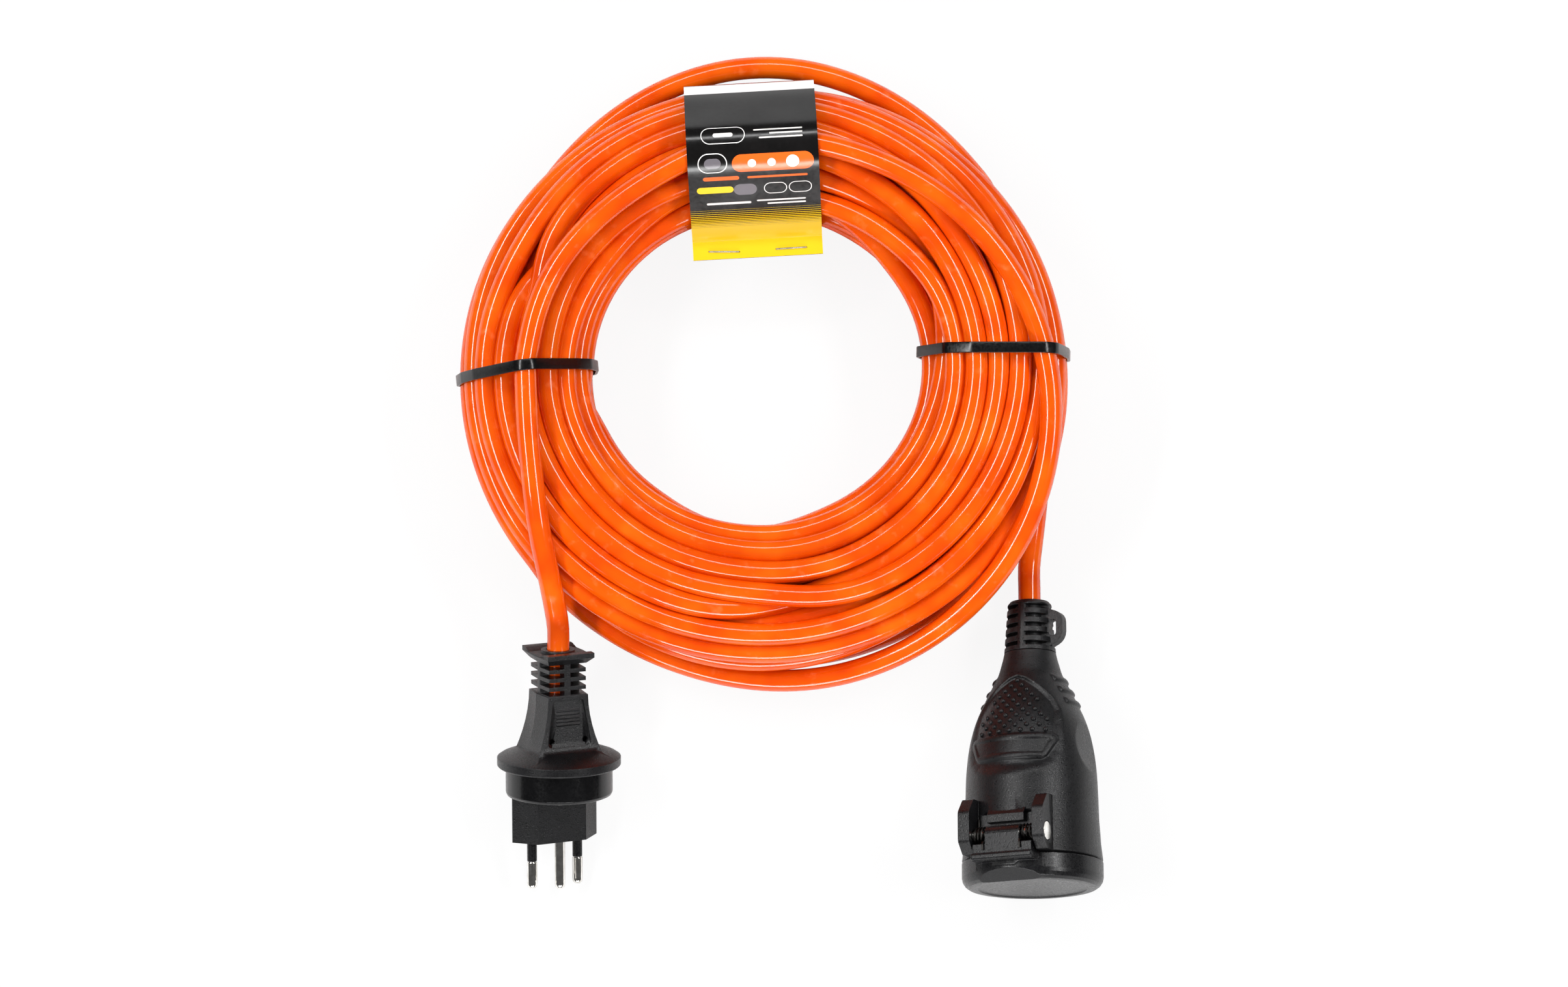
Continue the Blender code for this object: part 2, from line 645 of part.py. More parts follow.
def housing():
    body = turned("coupling_housing", bottle_profile())

    # the front recess, which leaves the bar plate standing, and the grip bumps on its floor
    outline = [(across, station) for across, station in RECESS_HALF_OUTLINE]
    outline += [(-across, station) for across, station in reversed(RECESS_HALF_OUTLINE[1:-1])]
    recess = prism("recess_tool", outline, 0.004, 0.040, "X")
    floor = turned("recess_floor", bottle_profile(-RECESS_DEPTH), 32)
    head, foot = PLATE_HALF_WIDTH
    plate = prism(
        "plate_outline",
        rounded(
            [(-head, PLATE_START), (head, PLATE_START), (foot, PLATE_START + PLATE_LENGTH),
             (-foot, PLATE_START + PLATE_LENGTH)],
            [PLATE_ROUNDING[0], PLATE_ROUNDING[0], PLATE_ROUNDING[1], PLATE_ROUNDING[1]], 3,
        ),
        0.003, 0.045, "X",
    )
    boolean(recess, floor)
    boolean(recess, plate)
    boolean(body, recess)
    bumps = grip_bumps()
    boolean(body, bumps, "UNION")

    # grip ridges on both sides
    ridge_points = [(0.0, GRIP_STATIONS[-1] + 0.003)]
    for station in reversed(GRIP_STATIONS):
        radius = float(np.interp(station, *zip(*BOTTLE)))
        slope = (float(np.interp(station + 0.001, *zip(*BOTTLE))) - radius) / 0.001
        ridge_points += [
            (radius - 0.0005 + slope * GRIP_FOOT, station + GRIP_FOOT),
            (radius + GRIP_HEIGHT + slope * GRIP_CREST, station + GRIP_CREST),
            (radius + GRIP_HEIGHT - slope * GRIP_CREST, station - GRIP_CREST),
            (radius - 0.0005 - slope * GRIP_FOOT, station - GRIP_FOOT),
        ]
    ridge_points.append((0.0, GRIP_STATIONS[0] - 0.003))
    ridges = turned("grip_rings", ridge_points)
    low, high = GRIP_STATIONS[0] - 0.004, GRIP_STATIONS[-1] + 0.004
    sides = block("grip_sides", (-GRIP_HALF_WIDTH, -0.030, low), (GRIP_HALF_WIDTH, 0.030, high))
    boolean(ridges, sides, "INTERSECT")
    boolean(body, ridges, "UNION")

    # thumb depressions
    for side in (-1, 1):
        bm = bmesh.new()
        bmesh.ops.create_uvsphere(bm, u_segments=24, v_segments=12, radius=1.0)
        surface = float(np.interp(THUMB_STATION, *zip(*BOTTLE)))
        middle = (0.0, side * (surface + THUMB_BULGE - THUMB_DEPTH), THUMB_STATION)
        bmesh.ops.scale(bm, vec=(THUMB_HALF_HEIGHT, THUMB_BULGE, THUMB_HALF_LENGTH), verts=bm.verts)
        bmesh.ops.translate(bm, vec=middle, verts=bm.verts)
        thumb = object_from(f"thumb_{side}", bm)
        boolean(body, thumb)
        carry(COUPLING, thumb)

    # hinge ears, the pocket between them, and the stop with its ledge
    rear, fore = EAR_SHOULDERS
    ear = rounded(
        [(EAR_ROOT, EAR_START), (HOUSING_R + rear[0], EAR_START), (EAR_TOP, EAR_START + rear[1]),
         (EAR_TOP, EAR_END - fore[1]), (HOUSING_R + fore[0], EAR_END), (EAR_ROOT, EAR_END)],
        [0, EAR_ROUNDING[0], EAR_ROUNDING[1], EAR_ROUNDING[1], EAR_ROUNDING[2], 0],
    )
    for side in (-1, 1):
        inner = side * EAR_GAP / 2
        made = prism(f"ear_{side}", ear, inner, inner + side * EAR_THICK)
        boolean(body, made, "UNION")
        carry(COUPLING, made)
    pocket = block("hinge_pocket", (POCKET_FLOOR, -EAR_GAP / 2, POCKET_START),
                   (EAR_TOP + 0.01, EAR_GAP / 2, HOUSING_END + 0.003))
    boolean(body, pocket)
    stop = prism(
        "lid_stop",
        rounded(
            [(POCKET_FLOOR - 0.001, POCKET_START - STOP_RAMP), (STOP_TOP - STOP_RAMP, POCKET_START - STOP_RAMP),
             (STOP_TOP, POCKET_START + 0.0005), (STOP_TOP, STOP_END), (POCKET_FLOOR - 0.001, STOP_END)],
            [0, 0.001, 0.0005, 0.0005, 0], 2,
        ),
        -STOP_HALF_WIDTH, STOP_HALF_WIDTH,
    )
    boolean(body, stop, "UNION")

    # pin hole and the seat of its head
    reach = EAR_GAP / 2 + EAR_THICK
    hole = rod("pin_hole", PIN_R + GAP, (HINGE_OUT, -reach - 0.002, HINGE_STATION),
               (HINGE_OUT, reach + 0.002, HINGE_STATION))
    seat = rod("head_seat", PIN_HEAD_R + GAP, (HINGE_OUT, -reach - 0.002, HINGE_STATION),
               (HINGE_OUT, -reach + PIN_HEAD_THICK + GAP, HINGE_STATION))
    boolean(body, hole)
    boolean(body, seat)

    # the inside: mouth, seats of the insert and its holder, cable space and the relief's spigot
    spigot_seat = RELIEF_LENGTH + RELIEF_SPIGOT_LENGTH + GAP
    cavity = turned(
        "housing_cavity",
        [(0.0, HOUSING_END + 0.001), (MOUTH_R, HOUSING_END + 0.001), (MOUTH_R, INSERT_REAR - GAP),
         (HOLDER_SEAT_R, INSERT_REAR - GAP), (HOLDER_SEAT_R, HOLDER_START - GAP),
         (HOLDER_SEAT_R - HOLDER_SEAT_LEDGE, HOLDER_START - GAP),
         (HOLDER_SEAT_R - CAVITY_WAIST[1], CAVITY_WAIST[0]), (CAVITY_NECK[1], CAVITY_NECK[0]),
         (RELIEF_SPIGOT_R + GAP, spigot_seat + 0.001),
         (RELIEF_SPIGOT_R + GAP, BOTTLE_TOP - 0.005), (0.0, BOTTLE_TOP - 0.005)],
    )
    boolean(body, cavity)
    carry(COUPLING, recess, floor, plate, bumps, ridges, sides, pocket, stop, hole, seat, cavity)
    return finish(body, BLACK, COUPLING)


def nose_outline(grow=0.0):
    flat = NOSE_HALF_WIDTH - NOSE_HALF_HEIGHT
    wide, tall = NOSE_HALF_WIDTH + grow, NOSE_HALF_HEIGHT + grow
    corners = [(tall, flat), (0.0, wide), (-tall, flat), (-tall, -flat), (0.0, -wide), (tall, -flat)]
    return [(x + NOSE_SHIFT, y) for x, y in corners]


def hexagon(name, grow, low, high):
    outline = nose_outline(grow)
    return loft(name, [[(x, y, level) for x, y in outline] for level in (low, high)])


POLES = {"live": (NOSE_SHIFT, POLE_OFFSET), "neutral": (NOSE_SHIFT, -POLE_OFFSET),
         "earth": (NOSE_SHIFT + EARTH_OFFSET, 0.0)}
INSERT_FACE = HOUSING_END - MOUTH_DEPTH
RECESS_FLOOR = INSERT_FACE - NOSE_LENGTH - NOSE_CLEARANCE
CONTACT_TOP = RECESS_FLOOR - CONTACT_FLOOR


def insert_and_contacts():
    insert_r = MOUTH_R - GAP
    insert = turned(
        "socket_insert",
        [(0.0, INSERT_FACE), (insert_r - CONTACT_EDGE, INSERT_FACE), (insert_r, INSERT_FACE - CONTACT_EDGE),
         (insert_r, INSERT_REAR), (0.0, INSERT_REAR)],
    )
    recess = hexagon("socket_recess", NOSE_CLEARANCE, RECESS_FLOOR, INSERT_FACE + 0.002)
    boolean(insert, recess)
    holder = turned(
        "contact_holder",
        [(0.0, HOLDER_START + HOLDER_THICK), (HOLDER_SEAT_R - GAP, HOLDER_START + HOLDER_THICK),
         (HOLDER_SEAT_R - GAP, HOLDER_START), (0.0, HOLDER_START)],
    )
    carry(COUPLING, recess)
    for name, (x, y) in POLES.items():
        opening = rod(f"opening_{name}", PLUG_PIN_R + GAP, (x, y, CONTACT_TOP), (x, y, INSERT_FACE), 16)
        seat = rod(f"seat_{name}", CONTACT_R + GAP, (x, y, HOLDER_START - 0.003), (x, y, CONTACT_TOP), 16)
        boolean(insert, opening)
        boolean(insert, seat)
        boolean(holder, seat)
        rear = CONTACT_TOP - GAP - CONTACT_LENGTH
        contact = turned(
            f"contact_{name}",
            [(CONTACT_R, CONTACT_TOP - GAP), (CONTACT_R, rear + CONTACT_EDGE), (CONTACT_R - CONTACT_EDGE, rear),
             (0.0, rear), (0.0, rear + CONTACT_TAIL), (CONTACT_BORE_R, rear + CONTACT_TAIL),
             (CONTACT_BORE_R, CONTACT_TOP - GAP)],
            16,
        )
        contact.location = (x, y, 0.0)
        finish(contact, BRASS, COUPLING)
        carry(COUPLING, opening, seat)
    finish(insert, BLACK, COUPLING)
    finish(holder, BLACK, COUPLING)


def cores():
    """The three cores fan out from the sheath's end to the contacts."""
    rear = CONTACT_TOP - GAP - CONTACT_LENGTH - GAP
    looks = {"live": BROWN, "neutral": BLUE, "earth": GREEN_YELLOW}
    spread = {"live": 120.0, "neutral": 240.0, "earth": 0.0}
    straight = Vector((0.0, 0.0, CORE_STRAIGHT))
    for name, (x, y) in POLES.items():
        turn = math.radians(spread[name])
        near = Vector((math.cos(turn) * CORE_WIRE_SPREAD, math.sin(turn) * CORE_WIRE_SPREAD, 0.0))
        start = near + Vector((0, 0, SHEATH_END + GAP))
        end = Vector((x, y, rear))
        route = smooth_route(
            [start, start + straight, (start + end) / 2 + near * 0.3, end - straight, end],
            0.003,
        )
        tube(f"core_{name}", route, CORE_WIRE_R, 1, looks[name], COUPLING)


def hinge_pin():
    reach = EAR_GAP / 2 + EAR_THICK
    shank = rod("hinge_pin", PIN_R, (HINGE_OUT, -reach + 0.0004, HINGE_STATION), (HINGE_OUT, reach, HINGE_STATION))
    head = rod("pin_head", PIN_HEAD_R, (HINGE_OUT, -reach, HINGE_STATION),
               (HINGE_OUT, -reach + PIN_HEAD_THICK, HINGE_STATION))
    boolean(shank, head, "UNION")
    carry(COUPLING, head)
    return finish(shank, STEEL, COUPLING)


def lid_spring(name, side):
    """A torsion spring round the pin: one leg on the pocket's floor, the other over the lid's knuckle."""
    points = [Vector((HINGE_OUT - SPRING_R, SPRING_START, HINGE_STATION - reach)) for reach in SPRING_LEG]
    steps = round(SPRING_TURNS * 10)
    for step in range(steps + 1):
        turn = -math.pi / 2 + SPRING_TURNS * math.tau * step / steps
        points.append(
            Vector((
                HINGE_OUT + SPRING_R * math.sin(turn),
                SPRING_START + SPRING_PITCH * SPRING_TURNS * step / steps,
                HINGE_STATION + SPRING_R * math.cos(turn),
            ))
        )
    last = points[-1]
    over = HINGE_OUT + KNUCKLE_R + GAP + SPRING_WIRE_R
    points += [
        Vector((over - SPRING_HOOK, last.y, last.z)),
        Vector((over - SPRING_HOOK / 4, last.y, last.z + SPRING_HOOK / 4)),
        Vector((over, last.y, last.z + SPRING_HOOK)),
        Vector((over, last.y, last.z + SPRING_HOOK + 0.002)),
    ]
    points = [Vector((point.x, -side * point.y, point.z)) for point in points]
    return tube(name, points, SPRING_WIRE_R, 1, STEEL, COUPLING)


def lid():
    low = HOUSING_END + GAP
    seat = low + LID_SEAT
    hollow_r = GASKET_INNER_R - 0.001
    edge = [
        (LID_R - LID_EDGE * (1 - math.sin(turn)), LID_END - LID_EDGE * (1 - math.cos(turn)))
        for turn in (0.0, math.pi / 8, math.pi / 4, 3 * math.pi / 8, math.pi / 2)
    ]
    cap = turned(
        "lid_cap",
        [(0.0, LID_END - LID_DISC_DEPTH), (LID_DISC_R, LID_END - LID_DISC_DEPTH),
         (LID_DISC_R + LID_DISC_CHAMFER, LID_END),
         *edge, (LID_R, low), (LID_R - LID_WALL, low), (LID_R - LID_WALL, seat),
         (hollow_r, seat), (hollow_r, LID_END - LID_ROOF), (0.0, LID_END - LID_ROOF)],
    )
    knuckle = prism(
        "knuckle",
        [(KNUCKLE_FLOOR, HINGE_STATION), (HINGE_OUT + KNUCKLE_R, HINGE_STATION),
         (HINGE_OUT + KNUCKLE_R, low + KNUCKLE_ROOT), (KNUCKLE_FLOOR, low + KNUCKLE_ROOT)],
        -KNUCKLE_HALF_WIDTH, KNUCKLE_HALF_WIDTH,
    )
    barrel = rod("knuckle_barrel", KNUCKLE_R - 0.00001, (HINGE_OUT, -KNUCKLE_HALF_WIDTH, HINGE_STATION),
                 (HINGE_OUT, KNUCKLE_HALF_WIDTH, HINGE_STATION))
    lip = block("knuckle_lip", (KNUCKLE_FLOOR, -LIP_HALF_WIDTH, low), (LIP_TOP, LIP_HALF_WIDTH, low + LIP_THICK),
                LIP_EDGE)
    boolean(cap, knuckle, "UNION")
    boolean(cap, barrel, "UNION")
    boolean(cap, lip, "UNION")
    ramp_start = LID_DISC_R + 0.0001
    ramp = prism(
        "front_ramp",
        [(ramp_start, LID_END + 0.0002), (LIP_TOP, low + LIP_THICK), (LIP_TOP + 0.010, low + LIP_THICK),
         (LIP_TOP + 0.010, LID_END + 0.003), (ramp_start, LID_END + 0.003)],
        -LIP_HALF_WIDTH - 0.0006, LIP_HALF_WIDTH + 0.0006,
    )
    boolean(cap, ramp)
    bore = rod("knuckle_bore", PIN_R + GAP, (HINGE_OUT, -0.02, HINGE_STATION), (HINGE_OUT, 0.02, HINGE_STATION))
    boolean(cap, bore)
    for side in (-1, 1):
        ends = sorted((side * BARREL_HALF_WIDTH, side * (KNUCKLE_HALF_WIDTH + 0.001)))
        room = block(
            f"spring_room_{side}",
            (KNUCKLE_FLOOR - 0.001, ends[0], HINGE_STATION - 0.005),
            (HINGE_OUT + 0.006, ends[1], HINGE_STATION + SPRING_R + SPRING_WIRE_R + 0.0004),
        )
        boolean(cap, room)
        carry(COUPLING, room)
    carry(COUPLING, knuckle, barrel, lip, ramp, bore)
    edge_in, edge_up = GASKET_EDGE
    gasket = turned(
        "lid_gasket",
        [(GASKET_OUTER_R, seat - GAP), (GASKET_OUTER_R, low + edge_up), (GASKET_OUTER_R - edge_in, low),
         (GASKET_INNER_R + edge_in, low), (GASKET_INNER_R, low + edge_up), (GASKET_INNER_R, seat - GAP)],
    )
    for item, look in ((cap, SATIN_BLACK), (gasket, RUBBER)):
        finish(item, look, HINGE)
        item.location = (-HINGE_OUT, 0.0, -HINGE_STATION)


# ---------------------------------------------------------------- plug


def ring_of(half_x, half_y, bulge_y, level):
    """A rectangle whose two Y sides come to a low ridge at the seam."""
    return [(half_x, half_y, level), (0.0, half_y + bulge_y, level), (-half_x, half_y, level),
            (-half_x, -half_y, level), (0.0, -half_y - bulge_y, level), (half_x, -half_y, level)]


def plug_body():
    neck_end = PLUG_BODY_START + 0.001
    body = loft(
        "plug_body",
        [ring_of(*COLLAR_HALF, 0.0006, 0.0), ring_of(*COLLAR_HALF, 0.0006, COLLAR_RIM),
         ring_of(*PLUG_NECK_HALF, 0.0006, PLUG_NECK_START), ring_of(*PLUG_NECK_HALF, 0.0006, neck_end)],
    )
    slotted(body, PLUG_NECK_START - 0.0002, PLUG_ROWS, PLUG_ROW_PITCH, PLUG_SLOT, PLUG_WEB, 0.016, PLUG)
    rings = []
    for step in range(7):
        way = step / 6
        level = PLUG_BODY_START + (PLUG_BODY_END - PLUG_BODY_START) * way
        flare = way**PLUG_FLARE
        half_x, half_y = (top + (foot - top) * flare for top, foot in zip(PLUG_TOP_HALF, PLUG_FOOT_HALF))
        bulge = PLUG_SEAM_BULGE[0] + (PLUG_SEAM_BULGE[1] - PLUG_SEAM_BULGE[0]) * way
        rings.append(ring_of(half_x, half_y, bulge, level))
    grip = loft("plug_grip", rings)

    # the front panel with its ridges and two holes
    tilt = (PLUG_FOOT_HALF[0] - PLUG_TOP_HALF[0]) / (PLUG_BODY_END - PLUG_BODY_START)
    top, foot = PANEL_HALF_WIDTH
    panel = prism(
        "panel",
        rounded([(-top, PANEL_START), (top, PANEL_START), (foot, PANEL_END), (-foot, PANEL_END)],
                [PANEL_ROUNDING[0], PANEL_ROUNDING[0], PANEL_ROUNDING[1], PANEL_ROUNDING[1]], 3),
        0.0, 0.010, "X",
    )

    def face_height(level):
        way = (level - PLUG_BODY_START) / (PLUG_BODY_END - PLUG_BODY_START)
        return PLUG_TOP_HALF[0] + (PLUG_FOOT_HALF[0] - PLUG_TOP_HALF[0]) * way**PLUG_FLARE

    for vertex in panel.data.vertices:
        base = face_height(min(max(vertex.co.z, PLUG_BODY_START), PLUG_BODY_END)) - PANEL_DEPTH
        vertex.co.x = base + vertex.co.x
    boolean(grip, panel)
    for row in range(PANEL_RIDGES):
        level = PANEL_START + PANEL_RIDGE_START + row * PANEL_RIDGE_PITCH
        height = face_height(level) - PANEL_DEPTH + PANEL_RIDGE_RISE - PANEL_RIDGE_R
        ridge = rod(f"ridge_{row}", PANEL_RIDGE_R, (height, -PANEL_RIDGE_HALF, level),
                    (height, PANEL_RIDGE_HALF, level), 8)
        boolean(grip, ridge, "UNION")
        carry(PLUG, ridge)
    for side in (-1, 1):
        level = PANEL_END - PANEL_HOLE_FROM_END
        height, across = face_height(level), side * PANEL_HOLE_ACROSS
        hole = rod(f"panel_hole_{side}", PANEL_HOLE_R, (height - PANEL_HOLE_DEPTH, across, level),
                   (height + PANEL_HOLE_DEPTH, across, level), 12)
        boolean(grip, hole)
        carry(PLUG, hole)
    inset, drop, chamfer = FLANGE_EDGES
    flange = turned(
        "plug_flange",
        [(0.0, FLANGE_END), (FLANGE_R - chamfer, FLANGE_END), (FLANGE_R, FLANGE_END - chamfer),
         (FLANGE_R, FLANGE_EDGE_START), (FLANGE_R - inset, FLANGE_EDGE_START - drop),
         (FLANGE_TOP_R, FLANGE_CONE_START), (0.0, FLANGE_CONE_START)],
    )
    boolean(body, grip, "UNION")
    boolean(body, flange, "UNION")
    long_half, short_half = COLLAR_HALF
    dish_depth, dish_rim = COLLAR_DISH
    dish = loft(
        "collar_dish",
        [ring_of(long_half - dish_rim + 0.003, short_half + 0.003, 0.0, -0.002),
         ring_of(long_half - dish_rim, short_half + 0.003, 0.0, 0.0),
         ring_of(long_half - 2 * dish_rim, short_half + 0.003, 0.0, dish_depth)],
    )
    grommet = rod("collar_grommet", GROMMET_R, (0, 0, 0), (0, 0, PLUG_NECK_START))
    boolean(dish, grommet)
    boolean(body, dish)
    bore = rod("plug_bore", BORE_R, (0, 0, -0.001), (0, 0, PLUG_SHEATH_END + GAP))
    boolean(body, bore)
    carry(PLUG, grip, panel, flange, dish, grommet, bore)
    return finish(body, BLACK, PLUG)


def plug_nose_and_ring():
    top = FLANGE_END + GAP
    ring = turned(
        "plug_ring",
        [(RING_INNER_R, RING_END), (RING_R - RING_EDGE, RING_END), (RING_R - RING_EDGE * 0.3, RING_END - RING_EDGE * 0.3),
         (RING_R, RING_END - RING_EDGE), (RING_R, top), (RING_INNER_R, top)],
    )
    finish(ring, GLOSS_BLACK, PLUG)
    nose = turned(
        "plug_nose",
        [(0.0, RING_END - GAP), (RING_INNER_R - GAP, RING_END - GAP), (RING_INNER_R - GAP, top), (0.0, top)],
    )
    end = RING_END + NOSE_LENGTH
    boolean(nose, hexagon("nose_hexagon", -0.00005, top + 0.002, end), "UNION")
    carry(PLUG, CUTTERS.objects["nose_hexagon"])
    for name, (x, y) in POLES.items():
        insulated = name != "earth"
        bore = rod(f"pin_seat_{name}", PLUG_PIN_R + GAP, (x, y, PLUG_PIN_ROOT - GAP), (x, y, end + 0.001), 16)
        boolean(nose, bore)
        carry(PLUG, bore)
        tip = end + PLUG_PIN_LENGTH
        rounded_tip = [(0.0, tip), (PLUG_PIN_R * 0.55, tip - 0.0002), (PLUG_PIN_R * 0.9, tip - 0.0009),
                       (PLUG_PIN_R, tip - 0.0019)]
        if insulated:
            neck_end = end + SLEEVE_OUT
            stem = [(PLUG_PIN_R, neck_end), (PLUG_PIN_NECK_R, neck_end - 0.0003),
                    (PLUG_PIN_NECK_R, end - SLEEVE_IN - GAP), (PLUG_PIN_R, end - SLEEVE_IN - GAP)]
        else:
            stem = []
        pin = turned(f"pin_{name}", rounded_tip + stem + [(PLUG_PIN_R, PLUG_PIN_ROOT), (0.0, PLUG_PIN_ROOT)], 16)
        pin.location = (x, y, 0.0)
        finish(pin, NICKEL, PLUG)
        if insulated:
            outer, inner = SLEEVE_R, PLUG_PIN_NECK_R + GAP
            high, low = end + SLEEVE_OUT - SLEEVE_END_GAP, end - SLEEVE_IN
            sleeve = turned(f"sleeve_{name}", [(inner, high), (outer, high), (outer, low), (inner, low)], 16)
            sleeve.location = (x, y, 0.0)
            finish(sleeve, BLACK, PLUG)
    finish(nose, BLACK, PLUG)


# ---------------------------------------------------------------- coil


def around(values, turn_deg):
    """A value for any place round the coil from those at its right, top, left and bottom."""
    right, top, left, bottom = values
    turn = math.radians(turn_deg)
    mean = (right + top + left + bottom) / 4
    cross = (right + left - top - bottom) / 4
    return (
        mean + (right - left) / 2 * math.cos(turn) + (top - bottom) / 2 * math.sin(turn) + cross * math.cos(2 * turn)
    )


def section_at(turn_deg):
    """The bundle's middle radius, middle height and the half sizes of the line through its outer strands."""
    inner, outer = around(BUNDLE_INNER, turn_deg), around(BUNDLE_OUTER, turn_deg)
    half_height = around(BUNDLE_HALF_HEIGHT, turn_deg)
    middle = (inner + outer) / 2
    height = half_height + around(BUNDLE_LIFT, turn_deg)
    return middle, height, (outer - inner) / 2 - CABLE_R, half_height - CABLE_R


def outline_table(turn_deg, samples=360):
    """The section's outline as (share of its length, radius, height) columns."""
    middle, height, half_width, half_height = section_at(turn_deg)
    turn = np.linspace(0.0, math.tau, samples + 1)
    power = 2.0 / BUNDLE_SQUARENESS
    radius = middle + half_width * np.sign(np.cos(turn)) * np.abs(np.cos(turn)) ** power
    level = height + half_height * np.sign(np.sin(turn)) * np.abs(np.sin(turn)) ** power
    reach = np.concatenate([[0.0], np.cumsum(np.hypot(np.diff(radius), np.diff(level)))])
    return reach / reach[-1], radius, level, reach[-1]


def strand_place(turn_deg, phase, out):
    """A strand's middle: its phase is its share of the way round the section, from the outer side over the top."""
    share, radius, level, _ = outline_table(turn_deg)
    phase %= 1.0
    here = np.array([np.interp(phase, share, radius), np.interp(phase, share, level)])
    ahead = np.array([np.interp((phase + 0.004) % 1.0, share, radius), np.interp((phase + 0.004) % 1.0, share, level)])
    back = np.array([np.interp((phase - 0.004) % 1.0, share, radius), np.interp((phase - 0.004) % 1.0, share, level)])
    way = (ahead - back) / np.linalg.norm(ahead - back)
    place = here + out * np.array([way[1], -way[0]])
    turn = math.radians(turn_deg)
    return Vector((
        COIL_MIDDLE[0] + place[0] * math.cos(turn),
        COIL_MIDDLE[1] + place[0] * math.sin(turn),
        place[1],
    ))


SLOTS = min(outline_table(turn)[3] for turn in range(0, 360, 15)) / TURN_SPACING
LAYER_TURNS = math.floor(SLOTS) - 1 + LAYER_PART_TURN


def coil_points():
    """One unbroken line: a layer of turns that drift round the bundle, then a last turn that climbs on top."""
    layer_end = COIL_START_DEG + 360 * LAYER_TURNS
    whole_turns = math.floor((layer_end - COIL_END_DEG) / 360) + 1
    end = COIL_END_DEG + 360 * whole_turns
    if end - layer_end < CROSSING_END_DEG + 30:
        end += 360
    step = 360 / STATIONS
    turns = [COIL_START_DEG + step * i for i in range(int((end - COIL_START_DEG) / step) + 1)]
    if end - turns[-1] > 1:
        turns.append(end)
    points = []
    for turn in turns:
        past = turn - layer_end
        drift = COIL_START_PHASE - (min(turn, layer_end + CROSSING_START_DEG) - COIL_START_DEG) / 360 / SLOTS
        crossing = ease((past - CROSSING_START_DEG) / (CROSSING_END_DEG - CROSSING_START_DEG))
        settled = TOP_PHASE - 1.0
        phase = drift + (settled - drift) * crossing
        out = OVER_LAYER * ease(past / CLIMB_DEG)
        if turn < 200:
            out += STAND_OFF * ease(1.0 - abs(turn - 90) / STAND_OFF_HALF_DEG)
        points.append(strand_place(turn, phase, out))
    return points


def least_gap(points):
    """The least gap between stretches of the tube that lie more than half a turn apart along it."""
    fine = []
    for a, b in zip(points, points[1:]):
        fine += [a.lerp(b, step / 8) for step in range(8)]
    fine = np.array([tuple(point) for point in fine + [points[-1]]])
    apart = 8 * STATIONS // 3
    least = math.inf
    for i in range(0, len(fine) - apart):
        distance = np.linalg.norm(fine[i + apart:] - fine[i], axis=1).min()
        least = min(least, distance)
    return least - 2 * CABLE_R


def straight_end(points):
    """Runs both ends straight on for one cable diameter."""
    before = points[0] + (points[0] - points[1]).normalized() * 2 * CABLE_R
    after = points[-1] + (points[-1] - points[-2]).normalized() * 2 * CABLE_R
    return [before, *points, after]


def cord():
    coil = straight_end(coil_points())
    tube("cable_coil", coil, CABLE_R, 1, CABLE)
    gap = least_gap(coil)
    print(f"coil: {len(coil)} points, {SLOTS:.2f} slots, least gap {gap * 1000:.2f} mm")

    plug_mouth, plug_way = PLUG.matrix_world.translation, PLUG.matrix_world.col[2].to_3d()
    away = (coil[-1] - coil[-2]).normalized()
    start = coil[-1] + away * GAP
    to_plug = smooth_route(
        [start, start + away * 2 * CABLE_R, *PLUG_TAIL, plug_mouth - plug_way * (2 * CABLE_R + GAP),
         plug_mouth - plug_way * GAP],
        0.0085,
    )
    tube("cable_to_plug", to_plug, CABLE_R, 3, CABLE)
    mouth, way = COUPLING.matrix_world.translation, COUPLING.matrix_world.col[2].to_3d()
    back = (coil[0] - coil[1]).normalized()
    start = coil[0] + back * GAP
    to_coupling = smooth_route(
        [start, start + back * 2 * CABLE_R, *COUPLING_TAIL, mouth - way * (2 * CABLE_R + GAP), mouth - way * GAP],
        0.0085,
    )
    tube("cable_to_coupling", to_coupling, CABLE_R, 3, CABLE)
    tube("sheath_in_coupling", [(0, 0, 0), (0, 0, SHEATH_END / 2), (0, 0, SHEATH_END)], CABLE_R, 3, CABLE, COUPLING)
    tube("sheath_in_plug", [(0, 0, 0), (0, 0, PLUG_SHEATH_END / 2), (0, 0, PLUG_SHEATH_END)], CABLE_R, 3, CABLE, PLUG)
    return coil, to_plug


def coil_core():
    """The plain inner strands: one swept ring inside the outer layer."""
    inset = CABLE_R + 2 * GAP
    bm = bmesh.new()
    rows = []
    for station in range(STATIONS):
        turn_deg = COIL_START_DEG + 360 * station / STATIONS
        middle, height, half_width, half_height = section_at(turn_deg)
        turn = math.radians(turn_deg)
        row = []
        for corner in range(16):
            angle = math.tau * corner / 16
            power = 2.0 / BUNDLE_SQUARENESS
            radius = middle + (half_width - inset) * math.copysign(abs(math.cos(angle)) ** power, math.cos(angle))
            level = height + (half_height - inset) * math.copysign(abs(math.sin(angle)) ** power, math.sin(angle))
            row.append(bm.verts.new((
                COIL_MIDDLE[0] + radius * math.cos(turn), COIL_MIDDLE[1] + radius * math.sin(turn), level
            )))
        rows.append(row)
    for i, row in enumerate(rows):
        for j, corner in enumerate(row):
            bm.faces.new((corner, row[j - 1], rows[i - 1][j - 1], rows[i - 1][j]))
    finish(object_from("coil_core", bm), CABLE)


